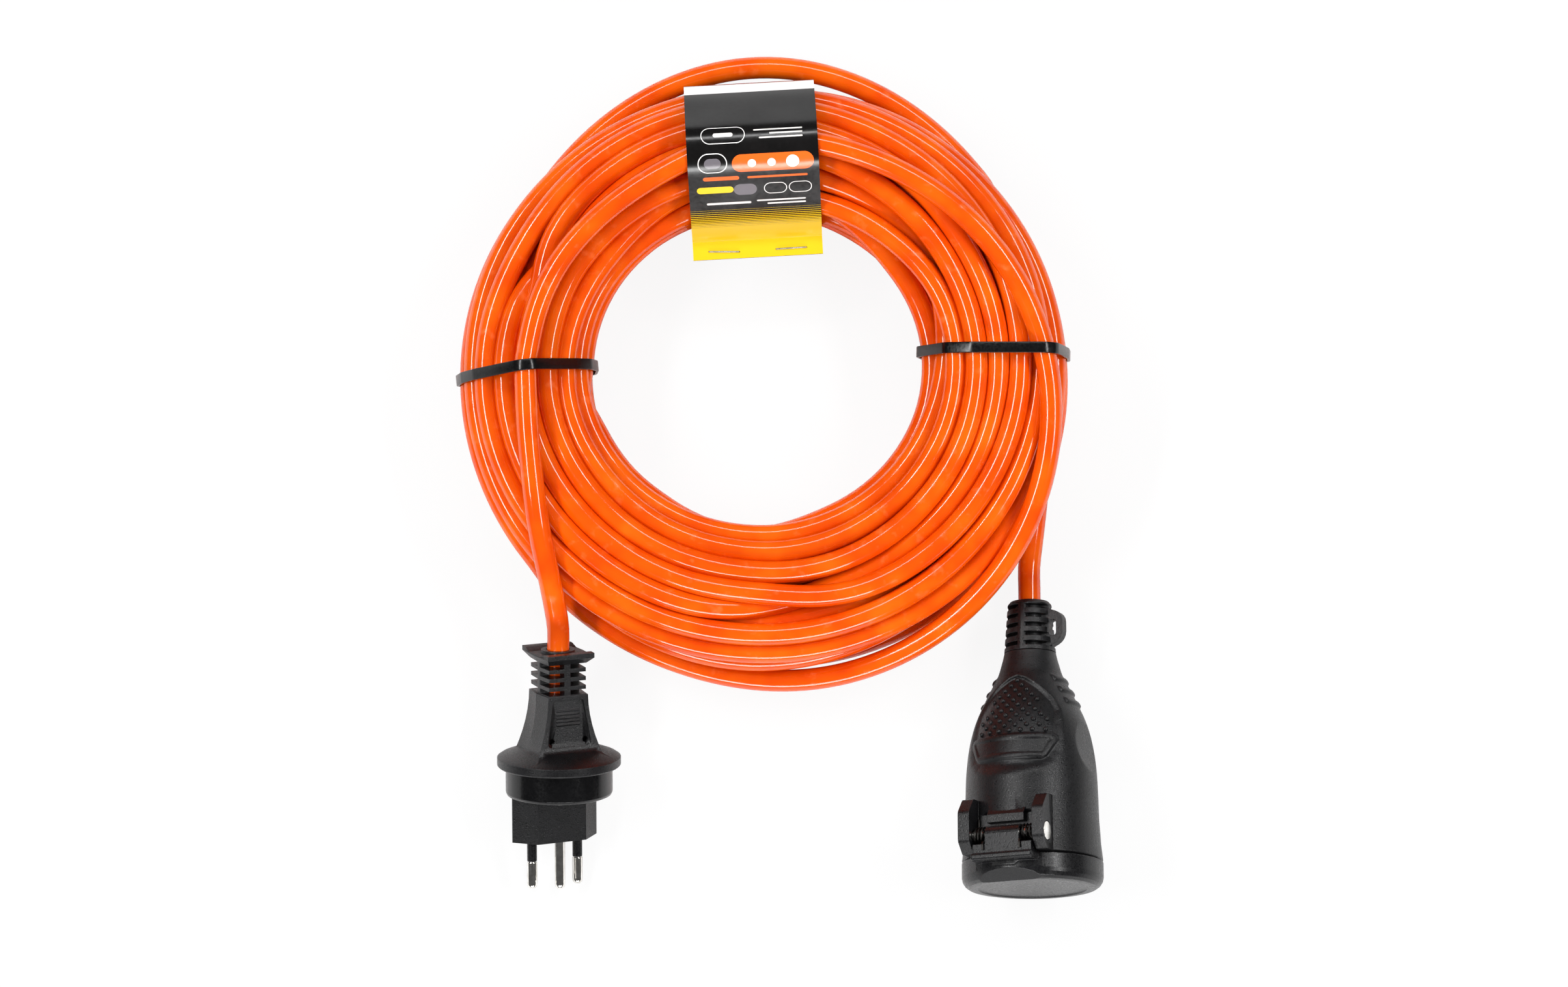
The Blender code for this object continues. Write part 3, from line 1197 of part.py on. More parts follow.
def wrap_frame(turn_deg, slant_deg):
    """A frame at the bundle's middle: X away from the coil's middle, Y along the strands, Z up."""
    turn = math.radians(turn_deg)
    middle = section_at(turn_deg)[0]
    place = Vector((COIL_MIDDLE[0] + middle * math.cos(turn), COIL_MIDDLE[1] + middle * math.sin(turn), 0.0))
    return Matrix.Translation(place) @ Matrix.Rotation(turn + math.radians(slant_deg), 4, "Z")


def strands_within(lines, frame, half_width):
    """Flat (across, height) places of the strands that pass within half a width of the frame's plane."""
    back = frame.inverted()
    found = []
    for line in lines:
        for a, b in zip(line, line[1:]):
            for step in range(6):
                point = back @ a.lerp(b, step / 6)
                if abs(point.y) < half_width + 0.002 and abs(point.x) < 0.06:
                    found.append((point.x, point.z))
    return found


def wrapped_outline(places, clearance):
    points = []
    reach = CABLE_R + clearance
    for x, z in places:
        points += [(round(x + reach * math.cos(math.tau * k / 20), 6), round(z + reach * math.sin(math.tau * k / 20), 6))
                   for k in range(20)]
    outline = hull(points)
    kept = [outline[0]]
    for point in outline[1:]:
        if math.dist(point, kept[-1]) > 0.0012:
            kept.append(point)
    return kept


def strip(name, outline, width, thick, frame, look, closed):
    """A band of the given width along an outline, thickened outward."""
    bm = bmesh.new()
    rows = [[bm.verts.new((x, side * width / 2, z)) for side in (-1, 1)] for x, z in outline]
    pairs = list(zip(rows, rows[1:]))
    if closed:
        pairs.append((rows[-1], rows[0]))
    for (a, b), (c, d) in pairs:
        bm.faces.new((a, b, d, c))
    mesh = bpy.data.meshes.new(name)
    bm.to_mesh(mesh)
    bm.free()
    made = bpy.data.objects.new(name, mesh)
    CUTTERS.objects.link(made)
    solid = made.modifiers.new("thickness", "SOLIDIFY")
    solid.thickness = thick
    solid.offset = 1.0
    solid.use_even_offset = True
    made.matrix_world = frame
    return finish(made, look)


def ties_and_label(coil, to_plug):
    for name, turn_deg, slant in (("cable_tie_left", TIE_LEFT_DEG, TIE_SLANT_DEG),
                                  ("cable_tie_right", TIE_RIGHT_DEG, -TIE_SLANT_DEG)):
        frame = wrap_frame(turn_deg, slant)
        outline = wrapped_outline(strands_within([coil, to_plug], frame, TIE_WIDTH / 2), TIE_CLEARANCE)
        strip(name, outline, TIE_WIDTH, TIE_THICK, frame, GLOSS_BLACK, True)

    frame = wrap_frame(LABEL_DEG, 0.0)
    middle = section_at(LABEL_DEG)[0]
    first_turn = int((200 - COIL_START_DEG) / (360 / STATIONS))
    wrapped = strands_within([coil[first_turn:], to_plug], frame, LABEL_WIDTH / 2)
    clamp = (LABEL_CLAMP_RADIUS - middle, LABEL_FLAP_HEIGHT)
    outline = wrapped_outline(wrapped, LABEL_CLEARANCE)
    ply = LABEL_THICK / 2 + GAP
    upper, lower = (clamp[0], clamp[1] + ply), (clamp[0], clamp[1] - ply)
    around_all = hull([*outline, upper, lower])
    first = around_all.index(lower)
    around_all = around_all[first:] + around_all[:first]
    flap_end = LABEL_FLAP_RADIUS - middle
    path = [(flap_end, lower[1]), *around_all, (flap_end, upper[1])]
    strip("label_sleeve", path, LABEL_WIDTH, LABEL_THICK, frame, CARD, False)


# ---------------------------------------------------------------- the assembly

bpy.context.view_layer.update()
strain_relief()
housing()
insert_and_contacts()
cores()
hinge_pin()
lid_spring("lid_spring", 1)
lid_spring("lid_spring_left", -1)
lid()
plug_body()
plug_nose_and_ring()
coil_line, plug_line = cord()
coil_core()
ties_and_label(coil_line, plug_line)
CUTTERS.hide_render = True
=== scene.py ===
# %% [markdown]
# An outdoor extension cord, seen from above: twenty metres of orange cable tied in a ring, a plug with a
# sealing flange on one end and a coupling with a sprung cover on the other. The measured model comes first
# and never moves. Everything here is built round it in the same metres, so nothing needs fitting later.

# %% Load the measured model
import math

import bpy
import numpy as np
from mathutils import Matrix, Vector, noise


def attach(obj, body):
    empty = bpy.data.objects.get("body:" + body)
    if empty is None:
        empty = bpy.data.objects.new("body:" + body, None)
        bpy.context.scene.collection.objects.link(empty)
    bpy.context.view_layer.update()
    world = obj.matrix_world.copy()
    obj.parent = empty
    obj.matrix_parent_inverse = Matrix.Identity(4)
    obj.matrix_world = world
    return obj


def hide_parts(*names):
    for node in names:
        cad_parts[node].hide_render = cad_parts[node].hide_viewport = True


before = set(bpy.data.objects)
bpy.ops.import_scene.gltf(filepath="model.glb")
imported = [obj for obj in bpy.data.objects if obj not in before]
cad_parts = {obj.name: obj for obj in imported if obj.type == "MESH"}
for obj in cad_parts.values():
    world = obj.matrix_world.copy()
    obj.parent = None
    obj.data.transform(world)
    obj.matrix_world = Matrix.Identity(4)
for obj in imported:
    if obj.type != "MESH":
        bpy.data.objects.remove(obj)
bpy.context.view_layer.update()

# %% [markdown]
# The camera stands two metres above the table with a long lens, a little towards the coupling's side, so the
# ring shows from straight above and the ends of the coupling and the plug just show. A long lens keeps the
# ring round at the picture's edges.

# %% Camera
LOOK_AT = Vector((-0.0940, 0.0985, 0.0220))
CAMERA_AWAY = 1.985
CAMERA_LEAN_DEG = 4.0
LENS_MM = 118.0


def added(name, data):
    """A new object in the scene."""
    made = bpy.data.objects.new(name, data)
    bpy.context.scene.collection.objects.link(made)
    return made


camera_data = bpy.data.cameras.new("camera")
camera_data.lens = LENS_MM
camera = added("camera", camera_data)
lean = math.radians(CAMERA_LEAN_DEG)
camera.location = LOOK_AT + CAMERA_AWAY * Vector((0.0, -math.sin(lean), math.cos(lean)))
camera.rotation_euler = (lean, 0.0, 0.0)
bpy.context.scene.camera = camera
print("camera at", tuple(round(value, 3) for value in camera.location))

# %% [markdown]
# The coil is one cable wound by hand. Its turns lie in layers round the middle of a thick bundle: an outer
# layer, a second one in its grooves, a third and a middle. The ties squeeze the bundle and its bottom
# spreads, so the sizes of its section are given at four places and blended.

# %% The bundle's section
CABLE_D = 0.0086
COIL_MIDDLE = (-0.1015, 0.1460)
INNER_EDGE = (0.0607, 0.0590, 0.0660, 0.0574)  # right, top, left, bottom
OUTER_EDGE = (0.1172, 0.1100, 0.1172, 0.1170)
HALF_HEIGHT = (0.0260, 0.0275, 0.0252, 0.0250)
LIFT = (0.0021, 0.0014, 0.0021, 0.0001)
SQUARENESS = 2.3  # 2 is an ellipse
LEAST_HALF = 0.0008  # the innermost line keeps this half size
SECTION_POINTS = 181
PHASE_STEP = 0.004


def blended(values, turn_deg):
    right, top, left, bottom = values
    turn = math.radians(turn_deg)
    return (
        (right + top + left + bottom) / 4
        + (right - left) / 2 * math.cos(turn)
        + (top - bottom) / 2 * math.sin(turn)
        + (right + left - top - bottom) / 4 * math.cos(2 * turn)
    )


def lengths_along(points):
    return np.concatenate([[0.0], np.cumsum(np.hypot(*np.diff(np.array(points), axis=0).T))])


def section(turn_deg, inset):
    """The strands' line one inset inside the outer layer: shares of its length, radii and heights."""
    inner, outer = blended(INNER_EDGE, turn_deg), blended(OUTER_EDGE, turn_deg)
    half_height = blended(HALF_HEIGHT, turn_deg)
    middle, height = (inner + outer) / 2, half_height + blended(LIFT, turn_deg)
    half_width = max((outer - inner) / 2 - CABLE_D / 2 - inset, LEAST_HALF)
    half_height = max(half_height - CABLE_D / 2 - inset, LEAST_HALF)
    turn = np.linspace(0.0, math.tau, SECTION_POINTS)
    power = 2.0 / SQUARENESS
    radius = middle + half_width * np.sign(np.cos(turn)) * np.abs(np.cos(turn)) ** power
    level = height + half_height * np.sign(np.sin(turn)) * np.abs(np.sin(turn)) ** power
    reach = lengths_along(np.array([radius, level]).T)
    return reach / reach[-1], radius, level


def strand_place(turn_deg, phase, inset, out):
    """A strand's radius and height. Its phase is its share of the way round, from outside over the top."""
    share, radius, level = section(turn_deg, inset)
    near = [(phase + step) % 1.0 for step in (-PHASE_STEP, 0.0, PHASE_STEP)]
    r, z = np.interp(near, share, radius), np.interp(near, share, level)
    way = np.array([r[2] - r[0], z[2] - z[0]])
    way /= max(np.linalg.norm(way), 1e-9)
    return np.array([r[1] + out * way[1], z[1] - out * way[0]])


def in_space(turn_deg, radius, level):
    turn = math.radians(turn_deg)
    return Vector((COIL_MIDDLE[0] + radius * math.cos(turn), COIL_MIDDLE[1] + radius * math.sin(turn), level))


print("bundle's width in mm:", [round(1000 * (out - inn)) for inn, out in zip(INNER_EDGE, OUTER_EDGE)])

# %% [markdown]
# The winding is a list of stages, counted in turns from the coupling's end: part of the outer layer, the
# inner layers, then the rest of the outer layer and one last turn that climbs on top towards the plug. A
# stack of rings would be quicker, but would not be one cable. No two turns of a real coil lie alike, so the
# layer rolls a little and single turns sink in by a few millimetres.

# %% Stages of the winding
START_DEG = -15.0
START_PHASE = -0.06
OUTER_TURNS = 14.667
OUTER_SLOTS = 15.42
DIVE_AT = 3.70
INNER_TURNS = 17.0
DIVE_TURNS = 0.15  # taken by the dive inside
CHANGE_TURNS = 0.3  # taken by a change of layers
RISE_TURNS = 0.15
LAYER_TWO = (0.0077, 10.6)  # inset, turns in the layer
LAYER_THREE = (0.0153, 4.7)
CORE_INSET = 0.0215
END_DEG = 150.0
OVER_LAYER = 0.0094
TOP_PHASE = 0.25
CLIMB_DEG = 60.0
CROSSING_DEG = (22.0, 215.0)
STAND_OFF = 0.0150
STAND_OFF_HALF_DEG = 72.0
SECOND_STAND_OFF = 0.0076
POINTS_PER_TURN = 72

# %% Unevenness of a winding made by hand
UNEVEN_FROM, UNEVEN_OVER = 0.6, 0.6  # turns after which it starts, and turns in which it grows
WAVER = (1.1, 2.2)  # how quickly it changes along a turn, and its size in strands
SINK = (0.9, 0.0085)  # the same, in metres
INNER_SINK = 0.4  # share of it inside


def ease(value):
    value = np.clip(value, 0.0, 1.0)
    return value * value * (3 - 2 * value)


def roll(turn_deg):
    """How far the outer layer has rolled round the bundle here, in strands."""
    def waves(deg):
        turn = math.radians(deg)
        return 0.42 * math.sin(turn + 2.3) + 0.26 * math.sin(2 * turn + 1.1) + 0.14 * math.sin(3 * turn + 4.0)

    return waves(turn_deg) - waves(START_DEG)


def waver(turns, seed):
    """Unevenness of the hand winding, in strands, with the first half turn left as it is."""
    place = Vector((WAVER[0] * turns, 7.3 * seed, 0.4))
    return WAVER[1] * noise.noise(place) * ease((turns - UNEVEN_FROM) / UNEVEN_OVER)


def sunk(turns, seed):
    """How deep a strand has sunk between its neighbours here, in metres."""
    place = Vector((SINK[0] * turns, 3.1 * seed, 8.7))
    return SINK[1] * max(noise.noise(place), 0.0) * ease((turns - UNEVEN_FROM) / UNEVEN_OVER)


print("the outer layer has rolled by", round(roll(180), 2), "strands at the left")


# %% Plan the coil
def winding_place(turns):
    """Radius and height of the cable's middle, this many turns from the coupling's end of the coil."""
    layer_end = OUTER_TURNS + INNER_TURNS
    turn_deg = START_DEG + 360 * turns
    inside = turns - DIVE_AT
    rise = ease((inside - INNER_TURNS + RISE_TURNS) / (2 * RISE_TURNS))
    if 0 < inside < INNER_TURNS + RISE_TURNS:
        layer_two, layer_three = LAYER_TWO[1], LAYER_TWO[1] + LAYER_THREE[1]
        inset = LAYER_TWO[0] * ease(inside / DIVE_TURNS)
        inset += (LAYER_THREE[0] - LAYER_TWO[0]) * ease((inside - layer_two) / CHANGE_TURNS)
        inset += (CORE_INSET - LAYER_THREE[0]) * ease((inside - layer_three) / CHANGE_TURNS)
        inset += INNER_SINK * sunk(turns, 5) * ease(inside / CHANGE_TURNS)
        inset *= 1 - rise
        drift = START_PHASE - (DIVE_AT + RISE_TURNS * rise) / OUTER_SLOTS
        drift -= min(inside, layer_two) / LAYER_TWO[1]
        drift -= min(max(inside - layer_two, 0.0), LAYER_THREE[1]) / LAYER_THREE[1]
        drift += (roll(turn_deg) + waver(turns, 1)) / OUTER_SLOTS
        return strand_place(turn_deg, drift, inset, 0.0)
    outer = turns if inside <= 0 else turns - INNER_TURNS
    past = 360 * (turns - layer_end)
    crossing_from, crossing_to = CROSSING_DEG
    crossing = ease((past - crossing_from) / (crossing_to - crossing_from))
    over = ease(past / CLIMB_DEG)
    drift = START_PHASE - min(outer, OUTER_TURNS + crossing_from / 360) / OUTER_SLOTS
    drift += (roll(turn_deg) * ease((outer - 0.45) / 0.5) + waver(turns, 2) * (1 - over)) / OUTER_SLOTS
    phase = drift + (TOP_PHASE - 1.0 - drift) * crossing
    place = strand_place(turn_deg, phase, sunk(turns, 6) * (1 - over), OVER_LAYER * over)
    if turn_deg < 200:
        place[0] += STAND_OFF * ease(1.0 - abs(turn_deg - 90) / STAND_OFF_HALF_DEG)
    elif turn_deg < 560:
        place[0] += SECOND_STAND_OFF * ease(1.0 - abs(turn_deg - 450) / STAND_OFF_HALF_DEG)
    return place


last_turn = OUTER_TURNS + INNER_TURNS + (END_DEG + 360 - 225.1) / 360
count = round(last_turn * POINTS_PER_TURN) + 1
angles = START_DEG + 360 * np.arange(count) / POINTS_PER_TURN
planned = np.array([winding_place(turn) for turn in np.arange(count) / POINTS_PER_TURN])
print(f"coil: {last_turn:.2f} turns planned in {count} points")

# %% [markdown]
# The two free ends run on from the coil: one sags to the table and rises into the coupling, the other leaves
# the top of the ring and comes down into the plug. Each end is a few given points and a smooth curve
# through them. The coupling and the plug lie tilted and rolled, so each has a frame: X is the piece's front,
# Z runs along it away from the cable.

# %% Frames of the coupling and the plug
COUPLING_MOUTH = (0.0011, 0.0566, 0.01347)
PLUG_MOUTH = (-0.1805, 0.0380, 0.03410)
PLUG_TAIL = ((-0.1917, 0.1685, 0.0595), (-0.1925, 0.1550, 0.0597), (-0.1921, 0.1380, 0.0592),
             (-0.1912, 0.1200, 0.0584), (-0.1893, 0.1000, 0.0567), (-0.1874, 0.0850, 0.0539),
             (-0.1850, 0.0720, 0.0495), (-0.1826, 0.0600, 0.0437))
COUPLING_TAIL = ((0.0045, 0.0900, 0.0168), (0.0026, 0.0800, 0.0139), (0.0011, 0.0720, 0.0123))


def laid_frame(mouth, pitch_deg, lean_deg):
    """Z runs towards -Y, raised by the pitch, and X is up, leaning by the given angle towards +X."""
    pitch, tilt = math.radians(pitch_deg), math.radians(lean_deg)
    along = Vector((0.0, -math.cos(pitch), math.sin(pitch)))
    up = Vector((0.0, math.sin(pitch), math.cos(pitch)))
    front = up * math.cos(tilt) + Vector((math.sin(tilt), 0.0, 0.0))
    turn = Matrix((front, along.cross(front), along)).transposed().to_4x4()
    return Matrix.Translation(mouth) @ turn


COUPLING = laid_frame(COUPLING_MOUTH, 10.0, -25.4)
PLUG = laid_frame(PLUG_MOUTH, -14.0, 25.4)


def smooth_route(points, spacing):
    """Points about this far apart on a smooth curve through the given ones."""
    points = [Vector(point) for point in points]
    ends = [points[0] * 2 - points[1], *points, points[-1] * 2 - points[-2]]
    dense = []
    for a, b, c, d in zip(ends, ends[1:], ends[2:], ends[3:]):
        for step in range(24):
            t = step / 24
            bend, twist = 2 * a - 5 * b + 4 * c - d, 3 * b - a - 3 * c + d
            dense.append(0.5 * (2 * b + (c - a) * t + bend * t**2 + twist * t**3))
    dense.append(points[-1])
    reach = [0.0]
    for a, b in zip(dense, dense[1:]):
        reach.append(reach[-1] + (b - a).length)
    wanted = np.linspace(0.0, reach[-1], max(3, round(reach[-1] / spacing) + 1))
    axes = [np.interp(wanted, reach, [point[i] for point in dense]) for i in range(3)]
    return [Vector(point) for point in zip(*axes)]


print("the coupling's front points to", [round(value, 2) for value in COUPLING.col[0][:3]])

# %% The two free ends
INSIDE_COUPLING = 0.0270
INSIDE_PLUG = 0.0290
STRAIGHT = (-0.0089, 0.0, 0.012)  # the cable is straight here, before and past a mouth
RUN_ON = (0.0175, 0.0120)  # and this far past the coil's own ends
END_SPACING = 0.005
mouth, way = COUPLING.translation, COUPLING.col[2].to_3d()
plug_mouth, plug_way = PLUG.translation, PLUG.col[2].to_3d()


def free_ends(places):
    """The routes from inside the coupling to the coil, and from the coil to inside the plug."""
    line = [in_space(angle, *place) for angle, place in zip(angles[[0, 1, -2, -1]], places[[0, 1, -2, -1]])]
    back, ahead = (line[0] - line[1]).normalized(), (line[3] - line[2]).normalized()
    first = [mouth + way * INSIDE_COUPLING, *[mouth + way * past for past in reversed(STRAIGHT)],
             *reversed(COUPLING_TAIL), line[0] + back * RUN_ON[0], line[0]]
    last = [line[3], line[3] + ahead * RUN_ON[1], *PLUG_TAIL,
            *[plug_mouth + plug_way * past for past in STRAIGHT], plug_mouth + plug_way * INSIDE_PLUG]
    return smooth_route(first, END_SPACING), smooth_route(last, END_SPACING)


planned_ends = free_ends(planned)
print("free ends planned in", [len(end) for end in planned_ends], "points")

# %% [markdown]
# The planned strands still run into each other. A rope simulation could part them, but would pull the coil
# out of its photographed shape. So at every five degrees of the ring the strands are pushed apart until each
# has room for its own thickness, while the cable's stiffness smooths every strand along its length and the
# ties keep the bundle's shape. What comes out crosses, sinks and bulges a little.

# %% What may move
ROOM = CABLE_D * 0.99
TAIL_ROOM = ROOM + 0.0004
TABLE_CLEARANCE = 0.0004
HELD_TURNS = 0.46
LOOSE_TURNS = ((0.0, HELD_TURNS + 4 / POINTS_PER_TURN), (1.10, 1.48))
LOOSE_LAST_TURNS = 0.80
FAR = 9.0  # stands for no neighbour at all

turns_made = -(-count // POINTS_PER_TURN)
padded = np.full((turns_made * POINTS_PER_TURN, 2), np.nan)
padded[:count] = planned
places = padded.copy()
shape = np.array([
    [(blended(INNER_EDGE, a) + blended(OUTER_EDGE, a)) / 2,
     (blended(OUTER_EDGE, a) - blended(INNER_EDGE, a)) / 2 - CABLE_D / 2,
     blended(HALF_HEIGHT, a) + blended(LIFT, a), blended(HALF_HEIGHT, a) - CABLE_D / 2]
    for a in START_DEG + 360 * np.arange(len(padded)) / POINTS_PER_TURN
])
free = np.zeros(len(padded), bool)
held = round(HELD_TURNS * POINTS_PER_TURN)
for start, end in LOOSE_TURNS:
    free[round(start * POINTS_PER_TURN) : round(end * POINTS_PER_TURN)] = True
free[count - round(LOOSE_LAST_TURNS * POINTS_PER_TURN) :] = True

tail_places = [[] for station in range(POINTS_PER_TURN)]
for point in [point for end in planned_ends for point in end[3:-3]]:
    x, y = point.x - COIL_MIDDLE[0], point.y - COIL_MIDDLE[1]
    station = round((math.degrees(math.atan2(y, x)) - START_DEG) * POINTS_PER_TURN / 360) % POINTS_PER_TURN
    tail_places[station].append((math.hypot(x, y), point.z))
most = max(len(found) for found in tail_places)
tail_places = np.array([found + [(FAR, FAR)] * (most - len(found)) for found in tail_places])
print("points free to leave the bundle's shape:", int(free.sum()), "of", count)

# %% Let the strands settle
SETTLE_ROUNDS = 420
PUSH, TAIL_PUSH = 0.40, 0.8  # shares of what is lacking, made up in one round
STIFFNESS, SQUEEZE, RETURN = 0.35, 0.5, 0.05


def strands_apart(places):
    """Steps and distances between the strands at each angle of the ring, with none to itself."""
    grid = places.reshape(turns_made, POINTS_PER_TURN, 2)
    apart = grid[:, None] - grid[None]
    distance = np.linalg.norm(apart, axis=-1)
    distance[np.arange(turns_made), np.arange(turns_made)] = FAR
    return grid, apart, distance


for turn in range(SETTLE_ROUNDS):
    grid, apart, distance = strands_apart(places)
    push = np.nan_to_num(np.clip(ROOM - distance, 0, None) / distance)
    move = PUSH * np.nansum(push[..., None] * np.nan_to_num(apart), axis=1)
    apart = grid[:, :, None] - tail_places[None]
    distance = np.linalg.norm(apart, axis=-1)
    push = np.nan_to_num(np.clip(TAIL_ROOM - distance, 0, None) / distance)
    move += TAIL_PUSH * np.sum(push[..., None] * np.nan_to_num(apart), axis=2)
    places = places + move.reshape(-1, 2)
    for repeat in range(2):
        middle = (places[:-2] + places[2:]) / 2
        ok = ~np.isnan(middle[:, 0])
        places[1:-1][ok] += STIFFNESS * (middle[ok] - places[1:-1][ok])
    across = (places[:, 0] - shape[:, 0]) / shape[:, 1]
    upward = (places[:, 1] - shape[:, 2]) / shape[:, 3]
    beyond = (np.abs(across) ** SQUARENESS + np.abs(upward) ** SQUARENESS) ** (1 / SQUARENESS)
    tight = (beyond > 1.0) & ~free
    scale = 1 - SQUEEZE * (1 - 1 / beyond[tight])
    places[tight, 0] = shape[tight, 0] + across[tight] * shape[tight, 1] * scale
    places[tight, 1] = shape[tight, 2] + upward[tight] * shape[tight, 3] * scale
    places[free] += RETURN * (padded[free] - places[free])
    places[:, 1] = np.maximum(places[:, 1], CABLE_D / 2 + TABLE_CLEARANCE)
    places[:held], places[count - 3 : count] = padded[:held], padded[count - 3 : count]
distance = strands_apart(places)[-1]
places = places[:count]
coil_line = [in_space(angle, *place) for angle, place in zip(angles, places)]
print(f"strands: least distance {1000 * np.nanmin(distance):.2f} mm,",
      f"{100 * np.nanmean(np.nanmin(distance, axis=1) < 0.9 * CABLE_D):.1f}% closer than 0.9 diameters")

# %% [markdown]
# The real cable is one length, so the settled coil and both ends become one line, eased where they meet. A
# curve with a round bevel draws it, and stays round in every bend, unlike a ring extruded step by step.

# %% Join the coil and its ends
POINT_SPACING = 0.0041
EASED_POINTS, EASING_ROUNDS = 9, 40  # on either side of a joint

coupling_end, plug_end = free_ends(places)
route = coupling_end[:-1] + coil_line + plug_end[1:]
line = np.array([tuple(point) for point in route])
joints = (len(coupling_end), len(route) - len(plug_end))
for joint in joints:
    low, high = joint - EASED_POINTS, joint + EASED_POINTS + 1
    for repeat in range(EASING_ROUNDS):
        line[low:high] += 0.5 * ((line[low - 1 : high - 1] + line[low + 1 : high + 1]) / 2 - line[low:high])
coarse = [Vector(point) for point in line]
route = smooth_route(coarse, POINT_SPACING)
route_length = sum((b - a).length for a, b in zip(route, route[1:]))
print(f"cable: {route_length:.2f} m in {len(route)} points")

# %% The cable
curve = bpy.data.curves.new("cable", "CURVE")
curve.dimensions = "3D"
curve.bevel_depth = 1.0  # times each point's own radius
curve.bevel_resolution = 6
curve.use_fill_caps = True
spline = curve.splines.new("POLY")
spline.points.add(len(route) - 1)
for made, point in zip(spline.points, route):
    made.co = (*point, 1.0)
    made.radius = CABLE_D / 2
spline.use_smooth = True
cable = added("cable", curve)
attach(cable, "cord")
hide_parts("cable_coil", "coil_core", "cable_to_plug", "cable_to_coupling", "sheath_in_plug",
            "sheath_in_coupling")

# %% [markdown]
# Everything tied to the coil follows the settled strands. A wrap has its own frame: X points away from the
# middle of the coil, Y runs along the strands and Z is up. The outline is the tight line round all the
# strands that pass under the wrap, and a strip is one edge extruded from corner to corner of that outline.

# %% Helpers for one object at a time
MERGE = 0.00001  # points nearer than this are one


def select_only(*objects):
    bpy.ops.object.select_all(action="DESELECT")
    for obj in objects:
        obj.select_set(True)
    bpy.context.view_layer.objects.active = objects[0]


def edit(obj, every=True):
    """Edit mode on one object, with everything selected or with the selection it has."""
    select_only(obj)
    bpy.ops.object.mode_set(mode="EDIT")
    if every:
        bpy.ops.mesh.select_all(action="SELECT")


def leave_edit():
    bpy.ops.object.mode_set(mode="OBJECT")


def apply_place(obj, place=None):
    if place:
        obj.matrix_world = place
    select_only(obj)
    bpy.ops.object.transform_apply(location=True, rotation=True, scale=True)


def apply_modifier(obj, kind, **settings):
    select_only(obj)
    made = obj.modifiers.new(kind.lower(), kind)
    for name, value in settings.items():
        setattr(made, name, value)
    bpy.ops.object.modifier_apply(modifier=made.name)


def smooth_by_angle(obj, degrees):
    select_only(obj)
    bpy.ops.object.shade_smooth_by_angle(angle=math.radians(degrees))


# %% Outlines round the bundle
STRAND_MARGIN = 0.0007  # a strand this far beside a wrap still carries it
WRAP_REACH = 0.06
CORNERS = 40  # of a strand's round section


def wrap_frame(turn_deg, slant_deg):
    turn = math.radians(turn_deg)
    middle = (blended(INNER_EDGE, turn_deg) + blended(OUTER_EDGE, turn_deg)) / 2
    place = Matrix.Translation(in_space(turn_deg, middle, 0.0))
    return place @ Matrix.Rotation(turn + math.radians(slant_deg), 4, "Z"), middle


def hull(points):
    """The convex hull of flat points, counter-clockwise."""
    points = sorted(set(points))
    sides = []
    for ordered in (points, points[::-1]):
        side = []
        for point in ordered:
            while len(side) > 1:
                (ax, ay), (bx, by) = side[-2], side[-1]
                if (bx - ax) * (point[1] - ay) - (by - ay) * (point[0] - ax) > 1e-12:
                    break
                side.pop()
            side.append(point)
        sides += side[:-1]
    return sides


def outline_round(points, place, half_width, clearance):
    """The tight outline round every stretch of the cable within half a width of the frame's plane."""
    back = place.inverted()
    found = []
    reach = CABLE_D / 2 + clearance
    turns = [math.tau * k / CORNERS for k in range(CORNERS)]
    rim = [(reach * math.cos(turn), reach * math.sin(turn)) for turn in turns]
    for a, b in zip(points, points[1:]):
        for step in range(8):
            x, y, z = back @ a.lerp(b, step / 8)
            if abs(y) < half_width + STRAND_MARGIN and abs(x) < WRAP_REACH:
                found += [(round(x + aside, 6), round(z + above, 6)) for aside, above in rim]
    return hull(found)


def strip(name, outline, width, closed):
    """A flat strip: one edge, as wide as the strip, extruded along the outline."""
    bpy.ops.mesh.primitive_plane_add(size=width, location=(0.0, 0.0, 0.0))
    made = bpy.context.object
    made.name = name
    edit(made)
    bpy.ops.mesh.select_mode(type="VERT")
    bpy.ops.mesh.select_all(action="DESELECT")
    leave_edit()
    for vertex in made.data.vertices:
        vertex.select = vertex.co.x > 0
    edit(made, every=False)
    bpy.ops.mesh.delete(type="VERT")
    bpy.ops.mesh.select_all(action="SELECT")
    first_x, first_z = outline[0]
    bpy.ops.transform.translate(value=(first_x + width / 2, 0.0, first_z))
    ends = outline[1:] + [outline[0]] if closed else outline[1:]
    for (ax, az), (bx, bz) in zip(outline, ends):
        bpy.ops.mesh.extrude_edges_move(TRANSFORM_OT_translate={"value": (bx - ax, 0.0, bz - az)})
    bpy.ops.mesh.select_all(action="SELECT")
    bpy.ops.mesh.remove_doubles(threshold=MERGE)
    bpy.ops.mesh.normals_make_consistent(inside=False)
    leave_edit()
    return made


# %% [markdown]
# Two nylon ties hold the ring. Each is a flat band pulled tight round the strands, so a strip laid on the
# outline fits better than a ready ring. It gets a thickness and rounded edges, and a square head at the foot
# of the inner side, where its cut-off tail comes out.

# %% Cable ties
TIE_WIDTH = 0.0042
TIE_THICK = 0.0012
TIE_CLEARANCE = 0.0002
TIE_HEAD = (0.0062, 0.0056, 0.0046)
HEAD_HEIGHT = 0.011
HEAD_BEVEL, BAND_BEVEL = 0.0006, 0.0003
TAIL_INSET, TAIL_OUT = 0.0011, 0.0022
SHORTEST_SIDE = 0.0006
TIES = (("cable_tie_left", 181.0, 5.0), ("cable_tie_right", 3.8, -5.0))


